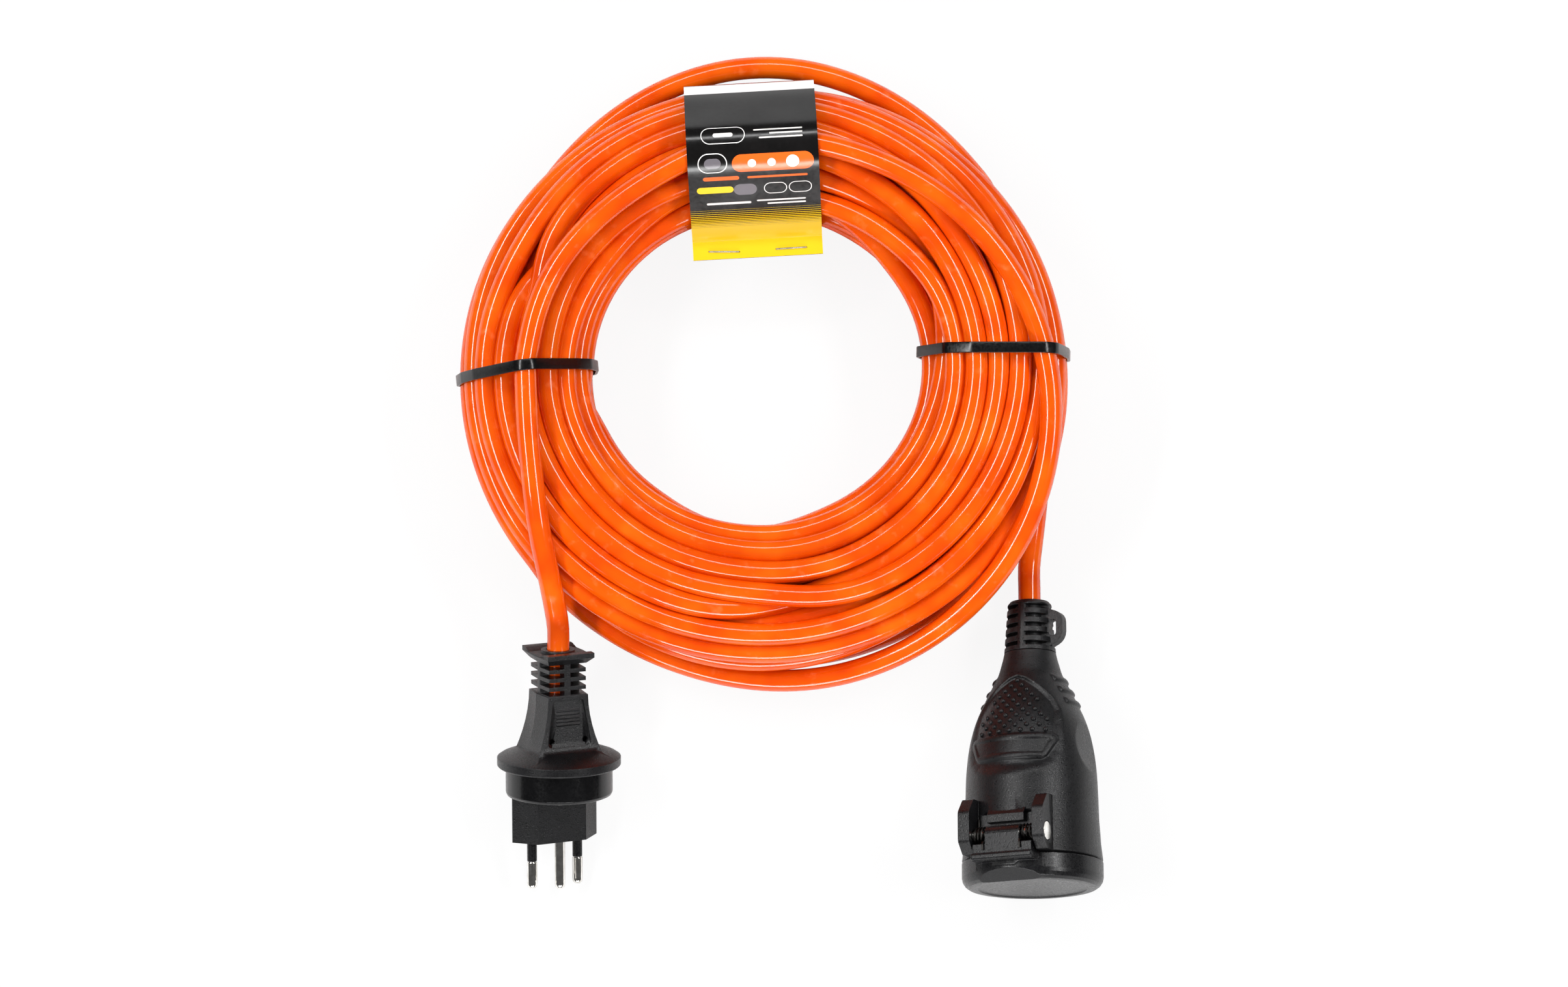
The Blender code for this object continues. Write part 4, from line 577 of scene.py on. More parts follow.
def cable_tie(name, turn_deg, slant_deg):
    place, middle = wrap_frame(turn_deg, slant_deg)
    outline = outline_round(coarse, place, TIE_WIDTH / 2, TIE_CLEARANCE)
    kept = [outline[0]]
    for point in outline[1:]:
        if math.dist(point, kept[-1]) > SHORTEST_SIDE:
            kept.append(point)
    band = strip(name + "_band", kept, TIE_WIDTH, True)
    apply_modifier(band, "SOLIDIFY", thickness=TIE_THICK, offset=1.0, use_even_offset=True)
    foot = min(kept, key=lambda point: point[0] + 1.5 * abs(point[1] - HEAD_HEIGHT))
    bpy.ops.mesh.primitive_cube_add(size=1.0, location=(foot[0] - 0.0004, 0.0, foot[1]))
    head = bpy.context.object
    head.scale = TIE_HEAD
    apply_place(head)
    edit(head)
    bpy.ops.mesh.bevel(offset=HEAD_BEVEL, segments=2, affect="EDGES")
    bpy.ops.mesh.select_all(action="DESELECT")
    leave_edit()
    lowest = min(face.center.z for face in head.data.polygons)
    for face in head.data.polygons:
        face.select = abs(face.center.z - lowest) < 1e-6
    edit(head, every=False)
    bpy.ops.mesh.select_mode(type="FACE")
    bpy.ops.mesh.inset(thickness=TAIL_INSET)
    bpy.ops.mesh.extrude_region_move(TRANSFORM_OT_translate={"value": (0.0, 0.0, -TAIL_OUT)})
    leave_edit()
    apply_modifier(band, "BEVEL", width=BAND_BEVEL, segments=2, limit_method="ANGLE",
                   angle_limit=math.radians(40))
    select_only(band, head)
    bpy.ops.object.join()
    apply_place(band, place)
    smooth_by_angle(band, 40)
    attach(band, "cord")
    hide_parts(name)
    print(name, "made of", len(band.data.polygons), "faces")
    return band


ties = [cable_tie(*tie) for tie in TIES]

# %% [markdown]
# A printed card sleeve wraps the top of the ring. Its two leaves meet on the inner side and run on as a
# flap. Card bends one way only, so it is a strip too, rounded a little where it folds. It keeps its own map,
# in hundredths of a metre along the card, so that the print follows it round the bundle.

# %% The card's outline
LABEL_DEG = 93.2
LABEL_WIDTH = 0.0500
CARD_THICK = 0.00035
CARD_CLEARANCE = 0.0009
PLY_GAP = 0.00005
LOWER_STRANDS_DEG = 575  # the strand that stands off above passes outside the card
FLAP_END_RADIUS = 0.0430
FLAP_JOIN_RADIUS = 0.0500
FLAP_HEIGHT = 0.0330
FOLD_STEP, FOLD_ROUNDS, FOLD_BLEND = 0.0009, 14, 0.004

label_place, label_middle = wrap_frame(LABEL_DEG, 0.0)
lower_strands = coarse[len(coupling_end) + round(LOWER_STRANDS_DEG / 360 * POINTS_PER_TURN) :]
outline = outline_round(lower_strands, label_place, LABEL_WIDTH / 2, CARD_CLEARANCE)
ply = CARD_THICK / 2 + PLY_GAP
join_x = FLAP_JOIN_RADIUS - label_middle
upper, lower = (join_x, FLAP_HEIGHT + ply), (join_x, FLAP_HEIGHT - ply)
outline = hull([*outline, upper, lower])
first = outline.index(lower)
outline = outline[first:] + outline[:first]
flap_x = FLAP_END_RADIUS - label_middle
leaf = [(flap_x + (join_x - flap_x) * step / 4, 0.0) for step in range(4)]
path = [(x, lower[1]) for x, z in leaf] + outline + [(x, upper[1]) for x, z in reversed(leaf)]
length = lengths_along(path)
evenly = np.linspace(0.0, length[-1], round(length[-1] / FOLD_STEP))
bent = np.array([np.interp(evenly, length, [point[axis] for point in path]) for axis in (0, 1)]).T
rounded = bent.copy()
for repeat in range(FOLD_ROUNDS):
    rounded[1:-1] += 0.5 * ((rounded[:-2] + rounded[2:]) / 2 - rounded[1:-1])
past_join = np.clip((bent[:, :1] - join_x) / FOLD_BLEND, 0.0, 1.0)
kept = [tuple(point) for point in bent + past_join * (rounded - bent)]
corners = np.array(kept[::-1])
reach = lengths_along(corners)
print(f"card: {1000 * LABEL_WIDTH:.0f} by {1000 * reach[-1]:.0f} mm when flat")

# %% Card sleeve
MAP_UNIT = 0.01
card_sleeve = strip("card_sleeve", kept, LABEL_WIDTH, False)
along_card = []
for vertex in card_sleeve.data.vertices:
    nearest = np.argmin(np.hypot(corners[:, 0] - vertex.co.x, corners[:, 1] - vertex.co.z))
    along_card.append((vertex.co.y / MAP_UNIT, reach[nearest] / MAP_UNIT))
card_map = card_sleeve.data.uv_layers.new(name="card")
for loop in card_sleeve.data.loops:
    card_map.data[loop.index].uv = along_card[loop.vertex_index]
apply_modifier(card_sleeve, "SOLIDIFY", thickness=CARD_THICK, offset=1.0)
apply_place(card_sleeve, label_place)
smooth_by_angle(card_sleeve, 50)
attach(card_sleeve, "cord")
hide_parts("label_sleeve")
print("card sleeve made of", len(card_sleeve.data.polygons), "faces")

# %% [markdown]
# Two wire staples hold the card's leaves together, a little askew. Each is bent wire, so a short curve with
# a round bevel draws it more simply than a bent cylinder. Its legs go into the card.

# %% Staples
STAPLE_WIRE = 0.0006
STAPLE_HALF = 0.0059
STAPLE_BEND = 0.0003
STAPLE_SUNK = -0.0006
STAPLES = ((-0.0129, 0.5), (0.0130, -3.0))
FLAP_TO_STAPLE = 0.0028


def staple(number, across, tilt_deg):
    shape = bpy.data.curves.new(f"staple_{number}", "CURVE")
    shape.dimensions = "3D"
    shape.bevel_depth = STAPLE_WIRE / 2
    shape.bevel_resolution = 2
    shape.use_fill_caps = True
    line = shape.splines.new("POLY")
    crown = CARD_THICK + STAPLE_WIRE * 0.42
    leg = [(-STAPLE_HALF, STAPLE_SUNK), (-STAPLE_HALF, crown - STAPLE_BEND),
           (-STAPLE_HALF + STAPLE_BEND, crown)]
    bends = [*leg, (0.0, crown + 0.0001), *[(-y, z) for y, z in reversed(leg)]]
    line.points.add(len(bends) - 1)
    for made, (y, z) in zip(line.points, bends):
        made.co = (0.0, y, z, 1.0)
    wire = added(f"staple_{number}", shape)
    select_only(wire)
    bpy.ops.object.convert(target="MESH")
    turn = Matrix.Rotation(math.radians(tilt_deg), 4, "Z")
    apply_place(wire, label_place @ Matrix.Translation((flap_x + FLAP_TO_STAPLE, across, upper[1])) @ turn)
    smooth_by_angle(wire, 40)
    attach(wire, "cord")
    return wire


staples = [staple(number, *place) for number, place in enumerate(STAPLES)]
print("staples:", [len(wire.data.polygons) for wire in staples], "faces")

# %% [markdown]
# The moulded and turned pieces keep their measured shape, because modelling them again would only bring
# errors in. Each gets a finished copy: its loose triangles are joined and merged into flat faces, and its
# curves are shaded smooth, with hard edges where the mould has them.

# %% Finished copies of the moulded and turned pieces
SMOOTH_DEG = {"coupling_housing": 28, "plug_body": 28, "lid_cap": 18}
SMOOTH_ELSE_DEG = 35
FLAT_DEG = 0.4  # faces that meet at less than this are one
FINISHED = ("coupling_housing", "coupling_strain_relief", "socket_insert", "plug_body", "plug_ring",
            "plug_nose", "pin_live", "pin_neutral", "pin_earth", "sleeve_live", "sleeve_neutral", "hinge_pin",
            "lid_spring", "lid_spring_left", "lid_cap", "lid_gasket")


def finished(name):
    made = added(name + "_finished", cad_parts[name].data.copy())
    edit(made)
    bpy.ops.mesh.remove_doubles(threshold=MERGE)
    bpy.ops.mesh.dissolve_limited(angle_limit=math.radians(FLAT_DEG))
    bpy.ops.mesh.normals_make_consistent(inside=False)
    leave_edit()
    smooth_by_angle(made, SMOOTH_DEG.get(name, SMOOTH_ELSE_DEG))
    apply_modifier(made, "WEIGHTED_NORMAL", keep_sharp=True, weight=50)
    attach(made, "lid" if name.startswith("lid_cap") or name.startswith("lid_gasket") else "cord")
    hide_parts(name)
    return made


pieces = {name: finished(name) for name in FINISHED}
print("finished copies, in faces:", {name: len(piece.data.polygons) for name, piece in pieces.items()})

# %% [markdown]
# The coupling's long front is a soft moulding. Its outer faces come off the finished copy, and a fine skin
# takes their place: a ring extruded and resized along the bottle, then pressed in at the drop-shaped recess
# and the two thumb dishes and raised at the plate and the side grips. Cutting these shapes out would leave
# hard edges, where the mould has soft ones.

# %% Shapes on the coupling's front
BOTTLE = ((0.0230, 0.0106), (0.0290, 0.0124), (0.0340, 0.0149), (0.0390, 0.0174), (0.0460, 0.0206),
          (0.0520, 0.0226), (0.0590, 0.0241), (0.0680, 0.0251), (0.0780, 0.0255))  # station, radius
HALF_RECESS = ((0.0000, 0.0308), (0.0035, 0.0318), (0.0062, 0.0335), (0.0090, 0.0355), (0.0120, 0.0382),
               (0.0148, 0.0412), (0.0172, 0.0455), (0.0188, 0.0510), (0.0197, 0.0580), (0.0196, 0.0630),
               (0.0180, 0.0670), (0.0145, 0.0700), (0.0080, 0.0718), (0.0000, 0.0722))
RECESS = [*HALF_RECESS, *[(-across, station) for across, station in HALF_RECESS[-2:0:-1]]]
RECESS_DEPTH = 0.0013
RECESS_WALL = ((0.045, 0.070), (0.0015, 0.0055))  # stations, and how wide its wall is there
PLATE = ((-0.0156, 0.0580), (0.0156, 0.0580), (0.0130, 0.0632), (-0.0130, 0.0632))
PLATE_CORNER = 0.0024  # the plate reaches this far outside those four points
PLATE_EDGE = 0.0007
PLATE_FIELD = (0.0019, 0.00035, 0.0004)  # the field's margin, depth and edge
THUMB = (0.0588, 0.0100, 0.0090, 0.0014)  # station, half length, half height, depth
GRIPS = (0.0316, 0.0362, 0.0408)
GRIP = (0.0017, 0.0072, 0.0009, 0.0012)  # half length, half height, rise, edge
SKIN_AROUND = 320
SKIN_STEP = 0.0004
SKIN_DEPTH = 0.0021  # faces of the copy less deep than this come off

bottle_line = smooth_route([(radius, 0.0, station) for station, radius in BOTTLE], SKIN_STEP)
skin_radii, skin_stations = np.array([(point.x, point.z) for point in bottle_line]).T
print("bottle:", len(skin_radii), "stations")

# %% Take the outer faces off the copy
housing = pieces["coupling_housing"]
to_bottle = COUPLING.inverted()
outer = []
for vertex in housing.data.vertices:
    spot = to_bottle @ vertex.co
    shell = np.interp(spot.z, skin_stations, skin_radii) - SKIN_DEPTH
    along_skin = BOTTLE[0][0] - 0.0001 < spot.z < BOTTLE[-1][0] + 0.0001
    outer.append(along_skin and math.hypot(spot.x, spot.y) > shell)
for element in (*housing.data.vertices, *housing.data.edges):
    element.select = False
for face in housing.data.polygons:
    face.select = all(outer[index] for index in face.vertices)
edit(housing, every=False)
bpy.ops.mesh.select_mode(type="FACE")
bpy.ops.mesh.delete(type="FACE")
leave_edit()
print("faces left on the housing:", len(housing.data.polygons))

# %% Extrude the skin
bottom = (0.0, 0.0, skin_stations[0])
bpy.ops.mesh.primitive_circle_add(vertices=SKIN_AROUND, radius=skin_radii[0], location=bottom)
front = bpy.context.object
front.name = "coupling_front"
apply_place(front)
edit(front)
for step in range(1, len(skin_radii)):
    rise, grow = skin_stations[step] - skin_stations[step - 1], skin_radii[step] / skin_radii[step - 1]
    bpy.ops.mesh.extrude_edges_move(TRANSFORM_OT_translate={"value": (0.0, 0.0, rise)})
    bpy.ops.transform.resize(value=(grow, grow, 1.0))
bpy.ops.mesh.select_all(action="SELECT")
bpy.ops.mesh.normals_make_consistent(inside=False)
leave_edit()
print("skin:", len(front.data.polygons), "faces")


# %% Press the shapes in
def depth_inside(across, station, outline):
    """How far inside a flat outline each point lies, negative outside it."""
    ends = np.array(outline)
    nearest = np.full(across.shape, FAR)
    inside = np.zeros(across.shape, bool)
    for (ax, ay), (bx, by) in zip(ends, np.roll(ends, -1, axis=0)):
        run, rise = bx - ax, by - ay
        share = np.clip(((across - ax) * run + (station - ay) * rise) / (run**2 + rise**2), 0.0, 1.0)
        nearest = np.minimum(nearest, np.hypot(across - ax - share * run, station - ay - share * rise))
        crosses = (ay > station) != (by > station)
        with np.errstate(divide="ignore", invalid="ignore"):
            inside ^= crosses & (across < ax + (station - ay) * run / rise)
    return np.where(inside, nearest, -nearest)


spots = np.array([tuple(vertex.co) for vertex in front.data.vertices])
x, y, z = spots.T
pressed = np.zeros(len(spots))
facing = x > 0.002
wall = depth_inside(y, z, RECESS) / np.interp(z, *RECESS_WALL)
pressed[facing] = -RECESS_DEPTH * ease(wall)[facing]
on_plate = depth_inside(y, z, PLATE) + PLATE_CORNER
plate_rise = ease((on_plate + 0.0002) / PLATE_EDGE)
margin, depth, edge = PLATE_FIELD
field = depth * ease((on_plate - margin) / edge)
pressed[facing] = (pressed * (1 - plate_rise) - field)[facing]
station, half_length, half_height, depth = THUMB
near = ((z - station) / half_length) ** 2 + (x / half_height) ** 2
pressed -= depth * np.clip(1.0 - near, 0.0, 1.0)
half_length, half_height, rise, edge = GRIP
for station in GRIPS:
    crest = rise * ease(1.25 * (1 - np.abs(z - station) / half_length))
    pressed += crest * ease((half_height - np.abs(x)) / edge)
radius = np.hypot(x, y)
spots[:, :2] *= ((radius + pressed) / radius)[:, None]
for vertex, spot in zip(front.data.vertices, spots):
    vertex.co = spot
apply_place(front, COUPLING)
bpy.ops.object.shade_smooth()
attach(front, "cord")
print(f"pressed in by {-1000 * pressed.min():.1f} mm and raised by {1000 * pressed.max():.1f} mm at most")

# %% [markdown]
# The recess's floor has rows of small domes for the thumb. Bump in the material would leave their outline
# flat, so each is real: one dome is cut from a sphere, squashed and copied row by row, and every copy is
# turned to stand square on the round floor.

# %% Grip domes
DOME_ROWS = (1, 2, 3, 4, 5, 4, 5, 6, 7, 6, 7)
DOME_START = 0.0331
DOME_PITCH = (0.0044, 0.0021)  # across, along
DOME_R = 0.00098
DOME_SQUASH = 0.78
DOME_FOOT = -0.0002
DOME_TILT_DEG = 78

bpy.ops.mesh.primitive_uv_sphere_add(segments=14, ring_count=8, radius=DOME_R, location=(0.0, 0.0, 0.0))
dome = bpy.context.object
edit(dome)
bpy.ops.mesh.bisect(plane_co=(0.0, 0.0, DOME_FOOT), plane_no=(0.0, 0.0, 1.0), use_fill=True, clear_inner=True)
bpy.ops.mesh.select_all(action="SELECT")
bpy.ops.transform.resize(value=(1.0, 1.0, DOME_SQUASH))
leave_edit()
stand = Matrix.Rotation(math.radians(DOME_TILT_DEG), 4, "Y")
domes = []
for row, count_in_row in enumerate(DOME_ROWS):
    station = DOME_START + row * DOME_PITCH[1]
    floor_r = np.interp(station, skin_stations, skin_radii) - RECESS_DEPTH
    row_place = COUPLING @ Matrix.Translation((0.0, 0.0, station))
    for place in range(count_in_row):
        turn = math.asin((place - (count_in_row - 1) / 2) * DOME_PITCH[0] / floor_r)
        made = added("dome", dome.data.copy())
        made.matrix_world = (
            row_place @ Matrix.Rotation(turn, 4, "Z") @ Matrix.Translation((floor_r, 0.0, 0.0)) @ stand
        )
        domes.append(made)
bpy.data.objects.remove(dome)
select_only(*domes)
bpy.ops.object.join()
domes = bpy.context.object
domes.name = "grip_domes"
apply_place(domes)
smooth_by_angle(domes, 40)
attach(domes, "cord")
print("domes:", sum(DOME_ROWS), "in", len(domes.data.polygons), "faces")

# %% [markdown]
# Each colour is written as a hex value and turned to the linear values that a shader wants. A node is added
# with its settings and links in one call, so a material reads as a list of what it does. Patterns are placed
# by the object's own metres, so that they keep their real size.

# %% Colours and nodes
MM = 0.001


def colour(hex_value):
    """A linear RGBA colour from an sRGB hex value such as FF8800."""
    channels = [int(hex_value[i : i + 2], 16) / 255 for i in (0, 2, 4)]
    return (*[c / 12.92 if c <= 0.04045 else ((c + 0.055) / 1.055) ** 2.4 for c in channels], 1.0)


def add_node(tree, kind, inputs=None, **settings):
    """A node with its settings, and its inputs set to a value or linked from another node's output."""
    made = tree.nodes.new("ShaderNode" + kind)
    for name, value in settings.items():
        setattr(made, name, value)
    for name, value in (inputs or {}).items():
        if isinstance(value, bpy.types.NodeSocket):
            tree.links.new(value, made.inputs[name])
        else:
            made.inputs[name].default_value = value
    return made


def new_material(name):
    """A material, its node tree, its shader and the place on the object."""
    print("material:", name)
    made = bpy.data.materials.new(name)
    made.use_nodes = True
    tree = made.node_tree
    return made, tree, tree.nodes["Principled BSDF"], add_node(tree, "TexCoord").outputs["Object"]


def maths(tree, operation, a, b=0.0):
    return add_node(tree, "Math", {0: a, 1: b}, operation=operation).outputs[0]


def noise_at(tree, spot, size, detail=2.0):
    """A noise pattern whose blotches are about this many metres wide."""
    return add_node(tree, "TexNoise", {"Vector": spot, "Scale": 1 / size, "Detail": detail}).outputs["Fac"]


def ramp(tree, value, *stops):
    """Colours along a value: each stop is a place and a hex colour."""
    made = add_node(tree, "ValToRGB", {"Fac": value})
    elements = made.color_ramp.elements
    while len(elements) < len(stops):
        elements.new(0.5)
    for element, (place, hex_value) in zip(elements, stops):
        element.position = place
        element.color = colour(hex_value)
    return made.outputs["Color"]


def spread(tree, value, low, high, to_low, to_high):
    return add_node(tree, "MapRange", {"Value": value, "From Min": low, "From Max": high, "To Min": to_low,
                                       "To Max": to_high}).outputs["Result"]


def bump(tree, height, strength, depth, under=None):
    """A normal bumped by a pattern this many metres deep, over another normal if one is given."""
    inputs = {"Height": height, "Strength": strength, "Distance": depth}
    if under:
        inputs["Normal"] = under
    return add_node(tree, "Bump", inputs).outputs[0]


def mix(tree, share, under, over):
    return add_node(tree, "MixRGB", {"Fac": share, "Color1": under, "Color2": over}).outputs["Color"]


def link(tree, output, shader, name):
    tree.links.new(output, shader.inputs[name])


def clad(obj, look):
    obj.data.materials.clear()
    obj.data.materials.append(look)


# %% [markdown]
# The sheath is extruded polyurethane: glossy, deep orange, slightly wavy where the three cores twist under
# it. One flat orange would look like toy plastic. Slow blotches give the eye the waves, and fine ones the
# scuffs and the dust of handling, in colour, gloss and bump together.

# %% Polyurethane cable sheath
sheath, tree, shader, spot = new_material("polyurethane_sheath")
ripples = noise_at(tree, spot, 16 * MM)
dust = noise_at(tree, spot, 0.9 * MM, 4.0)
scuffs = noise_at(tree, spot, 5 * MM, 6.0)
base = ramp(tree, ripples, (0.32, "DC4703"), (0.52, "E45404"), (0.72, "EA610A"))
scuffed = spread(tree, scuffs, 0.60, 0.78, 0.0, 0.35)
link(tree, mix(tree, scuffed, base, colour("FF8A4A")), shader, "Base Color")
dusty = spread(tree, dust, 0.3, 0.7, 0.08, 0.13)
link(tree, maths(tree, "ADD", dusty, spread(tree, scuffs, 0.52, 0.75, 0.0, 0.12)), shader, "Roughness")
waves = bump(tree, ripples, 0.22, 0.6 * MM)
link(tree, bump(tree, dust, 0.03, 0.03 * MM, waves), shader, "Normal")
shader.inputs["IOR"].default_value = 1.52
clad(cable, sheath)

# %% [markdown]
# The black mouldings share one recipe: a soft rounding of every edge in the shading, a spark-eroded grain
# that breaks up the sheen, cloudy wear, and edges rubbed a little brighter. They differ in grain size and
# gloss, so one function makes them all.

# %% Black mouldings
EDGE_TURN = (0.985, 0.80)  # cosines of an edge's turn where rubbing starts and where it is full


def moulded_black(name, dark, light, grain_mm, rough_low, rough_high, grain_strength, edge_mm, rubbed):
    look, tree, shader, spot = new_material(name)
    grain = noise_at(tree, spot, grain_mm * MM, 3.0)
    speck_scale = 1 / (2.2 * grain_mm * MM)
    specks = add_node(tree, "TexVoronoi", {"Vector": spot, "Scale": speck_scale}).outputs["Distance"]
    cloud = noise_at(tree, spot, 8 * MM, 4.0)
    soft = add_node(tree, "Bevel", {"Radius": edge_mm * MM}, samples=6).outputs[0]
    flat = add_node(tree, "NewGeometry").outputs["Normal"]
    facing = add_node(tree, "VectorMath", {0: soft, 1: flat}, operation="DOT_PRODUCT").outputs["Value"]
    edge = maths(tree, "MULTIPLY", spread(tree, facing, *EDGE_TURN, 0.0, rubbed), cloud)
    base = ramp(tree, cloud, (0.30, dark), (0.70, light))
    link(tree, mix(tree, edge, base, colour("8A8A8E")), shader, "Base Color")
    rough = maths(tree, "ADD", spread(tree, grain, 0.3, 0.7, rough_low, rough_high),
                  spread(tree, specks, 0.0, 0.6, -0.06, 0.05))
    link(tree, rough, shader, "Roughness")
    lumps = bump(tree, grain, grain_strength, 0.10 * MM, soft)
    link(tree, bump(tree, specks, grain_strength * 0.5, 0.05 * MM, lumps), shader, "Normal")
    shader.inputs["Specular IOR Level"].default_value = 0.31
    return look


grained = moulded_black("spark_eroded_black", "0A0A0B", "121214", 0.42, 0.24, 0.42, 0.95, 0.35, 0.16)
satin = moulded_black("satin_black_moulding", "0D0D0E", "151517", 0.50, 0.20, 0.34, 0.35, 0.40, 0.14)
gloss = moulded_black("glossy_black_nylon", "080809", "0E0E0F", 0.60, 0.12, 0.22, 0.06, 0.25, 0.12)
rubber = moulded_black("black_seal_rubber", "151515", "1E1E1E", 0.60, 0.60, 0.78, 0.20, 0.20, 0.05)

# %% [markdown]
# The plug's pins and the hinge pin are bright nickel with fine lines from turning. The staples are plain
# steel, the springs oiled and dark, and the contacts brass. Lines in the gloss, not in the colour, are what
# makes metal look turned. The cores in the coupling have plain coloured insulation.

# %% Metals
def metal(name, dark, light, rough_low, rough_high, line_mm):
    look, tree, shader, spot = new_material(name)
    stretched = add_node(tree, "Mapping", {"Vector": spot, "Scale": (1.0, 6.0, 1.0)}).outputs[0]
    lines = noise_at(tree, stretched, line_mm * MM, 2.0)
    cloud = noise_at(tree, spot, 2.5 * MM, 3.0)
    link(tree, ramp(tree, cloud, (0.35, dark), (0.65, light)), shader, "Base Color")
    link(tree, spread(tree, lines, 0.3, 0.7, rough_low, rough_high), shader, "Roughness")
    soft = add_node(tree, "Bevel", {"Radius": 0.25 * MM}, samples=6).outputs[0]
    link(tree, bump(tree, lines, 0.12, 0.03 * MM, soft), shader, "Normal")
    shader.inputs["Metallic"].default_value = 1.0
    return look


nickel = metal("bright_nickel_plate", "DAD7D1", "F2F0EC", 0.07, 0.14, 0.5)
steel = metal("plain_steel", "8E8C88", "B9B7B2", 0.24, 0.38, 0.7)
dark_steel = metal("oiled_spring_steel", "242322", "3A3836", 0.30, 0.45, 0.7)
brass = metal("contact_brass", "9C7838", "C8A050", 0.25, 0.38, 0.6)


# %% Core insulation
def core_insulation(name, dark, light):
    look, tree, shader, spot = new_material(name)
    link(tree, ramp(tree, noise_at(tree, spot, 3 * MM), (0.35, dark), (0.65, light)), shader, "Base Color")
    link(tree, spread(tree, noise_at(tree, spot, 0.6 * MM), 0.3, 0.7, 0.30, 0.45), shader, "Roughness")
    return look


brown = core_insulation("brown_core_insulation", "4A2412", "5A2E18")
blue = core_insulation("blue_core_insulation", "1C5CA8", "2A6CBC")
green_yellow = core_insulation("green_yellow_core_insulation", "8FA020", "B8B828")

# %% [markdown]
# The card is printed and varnished. Seen from the flap: plain yellow, then yellow and black stripes that
# turn to black, then a black panel with a bar, rings and fine rules in a layout of its own, and a white band
# at the outer edge. Each shape is cut out of the card's own map by distance, so it is sharp at any size.

# %% Tools for a print
card, tree, shader, spot = new_material("printed_card")
mapped = add_node(tree, "SeparateXYZ", {0: add_node(tree, "UVMap", uv_map="card").outputs[0]})
across, along = mapped.outputs[0], mapped.outputs[1]
CARD_MM = MM / MAP_UNIT
BANDS = (0.0113, 0.0178, 0.0618, 0.0660)  # seen from above, measured from the flap's end


def reach_at(across):
    """How far along the card its upper leaf is this far from the flap's end, seen from above."""
    outermost = np.argmax(corners[:, 0])
    return float(np.interp(flap_x + across, corners[: outermost + 1, 0], reach[: outermost + 1])) / MAP_UNIT


yellow_end, black_start, white_start, white_end = (reach_at(across_flap) for across_flap in BANDS)
print("bands end at", [round(end, 2) for end in (yellow_end, black_start, white_start, white_end)], "cm")


def within(value, low, high):
    above, below = maths(tree, "GREATER_THAN", value, low), maths(tree, "LESS_THAN", value, high)
    return maths(tree, "MULTIPLY", above, below)


def pill(middle_across, middle_along, half_length, radius):
    """Everything nearer than the radius to a short line across the card."""
    aside = maths(tree, "ABSOLUTE", maths(tree, "SUBTRACT", across, middle_across * CARD_MM))
    past_end = maths(tree, "MAXIMUM", maths(tree, "SUBTRACT", aside, half_length * CARD_MM), 0.0)
    off = maths(tree, "SUBTRACT", along, black_start + middle_along * CARD_MM)
    distance = maths(tree, "SQRT", maths(tree, "ADD", maths(tree, "MULTIPLY", past_end, past_end),
                                         maths(tree, "MULTIPLY", off, off)))
    return maths(tree, "LESS_THAN", distance, radius * CARD_MM)


def ring(middle_across, middle_along, half_length, radius, line):
    return maths(tree, "SUBTRACT", pill(middle_across, middle_along, half_length, radius),
                 pill(middle_across, middle_along, half_length, radius - line))


# %% Printed card
STRIPES = 12
stripe_share = maths(tree, "DIVIDE", maths(tree, "SUBTRACT", along, yellow_end), black_start - yellow_end)
stripe_place = maths(tree, "FRACT", maths(tree, "MULTIPLY", stripe_share, float(STRIPES)))
stripes = maths(tree, "LESS_THAN", stripe_place, stripe_share)
printed = ramp(tree, noise_at(tree, spot, 12 * MM), (0.4, "0B0A0A"), (0.7, "121010"))
yellow = colour("E3BE1C")
printed = mix(tree, maths(tree, "LESS_THAN", along, black_start), printed, yellow)
in_stripes = maths(tree, "MULTIPLY", stripes, within(along, yellow_end, black_start))
printed = mix(tree, in_stripes, printed, colour("1A1612"))
printed = mix(tree, within(along, white_start, white_end), printed, colour("F2F0EE"))
ORANGE, GREY, WHITE, PALE = "F06A22", "6E6A70", "F4F2F0", "E8E4E0"
shapes = [
    (pill(-7.5, 20.5, 12.0, 3.6), ORANGE), (pill(-15.0, 20.5, 0.0, 2.5), WHITE),
    (pill(-7.0, 20.5, 0.0, 1.6), WHITE), (pill(0.5, 20.5, 0.0, 1.6), WHITE),
    (ring(15.5, 21.0, 1.6, 4.0, 0.35), WHITE), (pill(15.5, 21.0, 1.2, 2.0), GREY),
    (ring(-17.5, 8.5, 1.8, 2.6, 0.3), WHITE), (ring(-8.0, 8.5, 1.8, 2.6, 0.3), WHITE),
    (pill(3.5, 8.5, 1.8, 2.6), GREY), (pill(15.0, 8.8, 5.5, 1.5), "F2D01E"),
    (pill(-10.0, 2.8, 9.0, 0.35), PALE), (pill(-12.0, 1.2, 7.0, 0.35), PALE),
    (pill(10.0, 2.2, 8.0, 0.5), PALE), (pill(-9.0, 14.2, 11.0, 0.5), ORANGE),
    (pill(12.5, 14.2, 6.0, 0.9), ORANGE), (pill(-11.0, 30.0, 8.0, 0.3), PALE),
    (pill(-13.0, 31.6, 6.0, 0.3), PALE), (pill(-10.0, 33.2, 9.0, 0.3), PALE),
    (ring(11.0, 31.8, 5.0, 3.4, 0.3), WHITE), (pill(11.0, 31.8, 3.0, 0.8), PALE),
]
for share, hex_value in shapes:
    printed = mix(tree, share, printed, colour(hex_value))
link(tree, printed, shader, "Base Color")
varnish = noise_at(tree, spot, 1.5 * MM, 3.0)
link(tree, spread(tree, varnish, 0.3, 0.7, 0.19, 0.24), shader, "Roughness")
waves = noise_at(tree, spot, 22 * MM, 1.0)
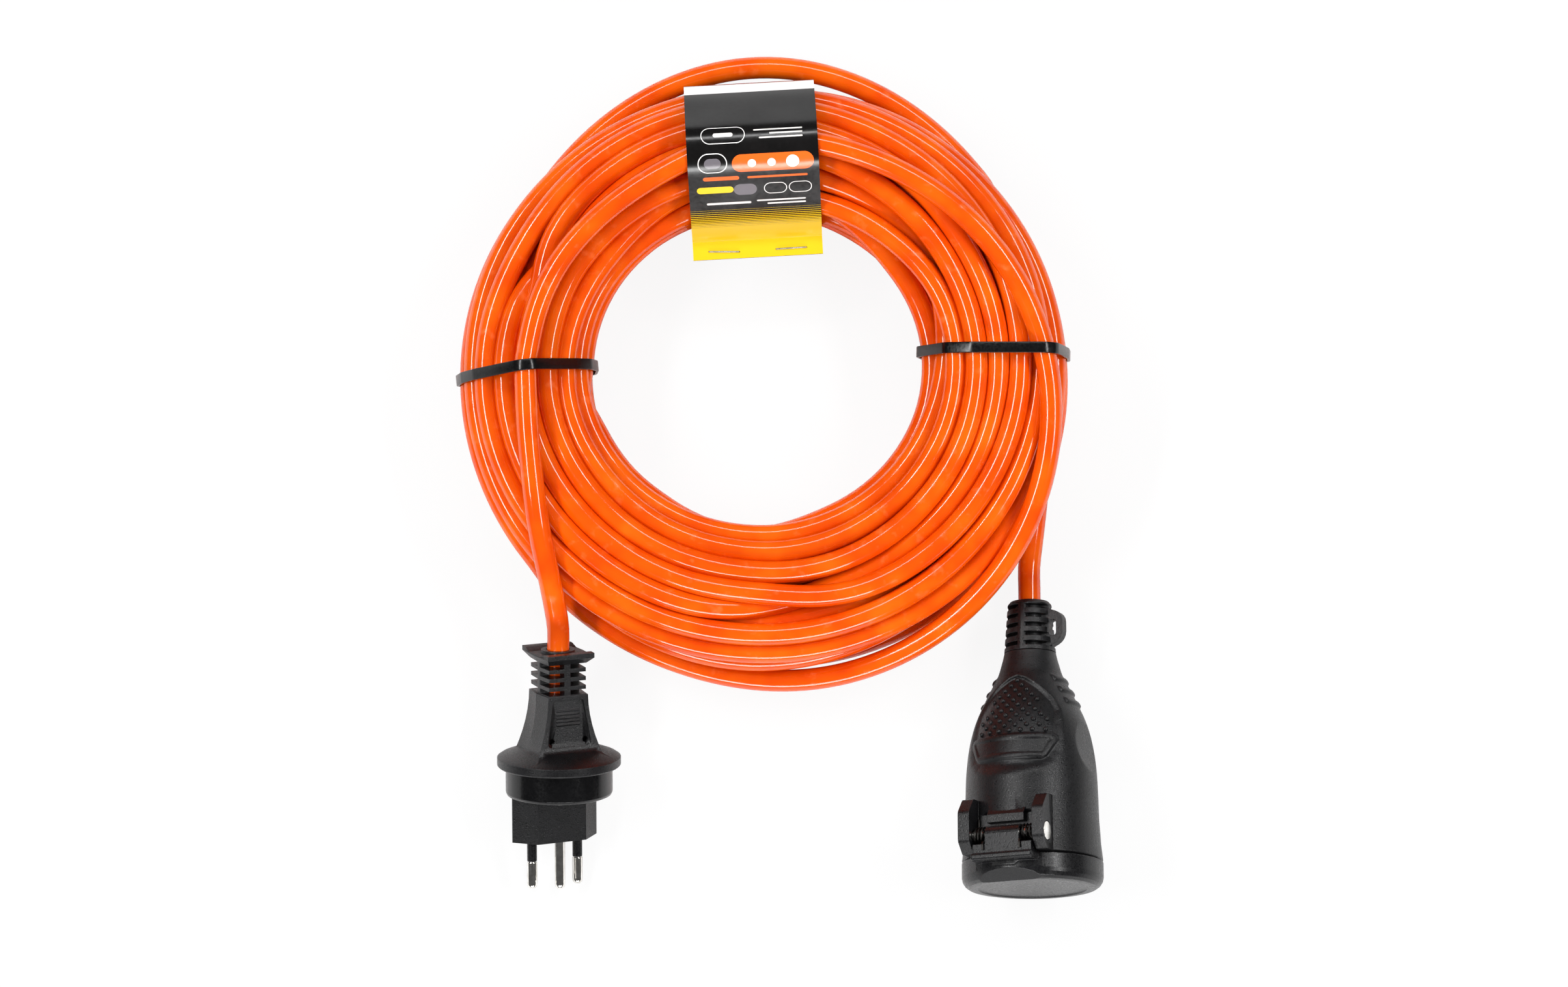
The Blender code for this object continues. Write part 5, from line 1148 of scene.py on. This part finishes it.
buckle = bump(tree, waves, 0.35, 1.2 * MM)
link(tree, bump(tree, varnish, 0.05, 0.1 * MM, buckle), shader, "Normal")
clad(card_sleeve, card)
print("shapes printed on the card:", len(shapes))

# %% [markdown]
# Each piece gets its look by name. What rides on the cable is declared with it, so that whoever lays the
# cord anew takes the plug, the ties and the card along.

# %% Dress the pieces
NAMED = {
    grained: ("coupling_housing", "coupling_strain_relief", "plug_body", "plug_nose"),
    satin: ("socket_insert", "contact_holder", "lid_cap", "sleeve_live", "sleeve_neutral"),
    nickel: ("pin_live", "pin_neutral", "pin_earth", "hinge_pin"),
    brass: ("contact_live", "contact_neutral", "contact_earth"),
    dark_steel: ("lid_spring", "lid_spring_left"), gloss: ("plug_ring",), rubber: ("lid_gasket",),
    brown: ("core_live",), blue: ("core_neutral",), green_yellow: ("core_earth",),
}
for look, names in NAMED.items():
    for name in names:
        clad(pieces.get(name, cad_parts[name]), look)
for look, made_here in ((grained, (front, domes)), (gloss, ties), (steel, staples)):
    for piece in made_here:
        clad(piece, look)
print("looks given out:", [look.name for look in NAMED])

# %% [markdown]
# A white table under a soft studio: two long strips left and right draw thin lines along the strands, a
# third behind the ring lights the top, and one low in front opens the faces of the plug and the coupling.
# The paper glows for the camera only, like an overexposed sheet, and so lights nothing itself.

# %% Floor, lamps and world
PAPER_GLOW = 0.90
WORLD_LIGHT = 0.09

bpy.ops.mesh.primitive_plane_add(size=6.0, location=(-0.1, 0.1, -0.0005))
floor = bpy.context.object
floor.name = "floor"
paper, tree, shader, _ = new_material("white_paper_sweep")
shader.inputs["Base Color"].default_value = colour("E2E2E2")
shader.inputs["Roughness"].default_value = 0.9
lit = add_node(tree, "Emission", {"Color": (1, 1, 1, 1), "Strength": 1.0})
seen = add_node(tree, "LightPath").outputs["Is Camera Ray"]
share = maths(tree, "MULTIPLY", seen, PAPER_GLOW)
mixed = add_node(tree, "MixShader", {0: share, 1: shader.outputs[0], 2: lit.outputs[0]})
tree.links.new(mixed.outputs[0], tree.nodes["Material Output"].inputs["Surface"])
clad(floor, paper)

world = bpy.data.worlds.new("studio")
bpy.context.scene.world = world
world.use_nodes = True
world.node_tree.nodes["Background"].inputs["Color"].default_value = (1, 1, 1, 1)
world.node_tree.nodes["Background"].inputs["Strength"].default_value = WORLD_LIGHT


def soft_lamp(name, place, size, power):
    lamp_data = bpy.data.lights.new(name, "AREA")
    lamp_data.shape = "RECTANGLE"
    lamp_data.size, lamp_data.size_y = size
    lamp_data.energy = power
    lamp = added(name, lamp_data)
    lamp.location = place
    lamp.rotation_euler = (Vector((-0.1, 0.1, 0.0)) - lamp.location).to_track_quat("-Z", "Y").to_euler()
    print(name, power, "W")


soft_lamp("strip_left", (-1.20, 0.30, 1.45), (1.5, 0.20), 25)
soft_lamp("strip_right", (1.05, 0.30, 1.40), (1.5, 0.20), 21)
soft_lamp("strip_behind", (-0.10, 1.25, 1.55), (1.7, 0.24), 14)
soft_lamp("front_fill", (-0.10, -1.40, 0.62), (1.3, 0.34), 20)
bpy.context.scene.view_settings.view_transform = "Standard"
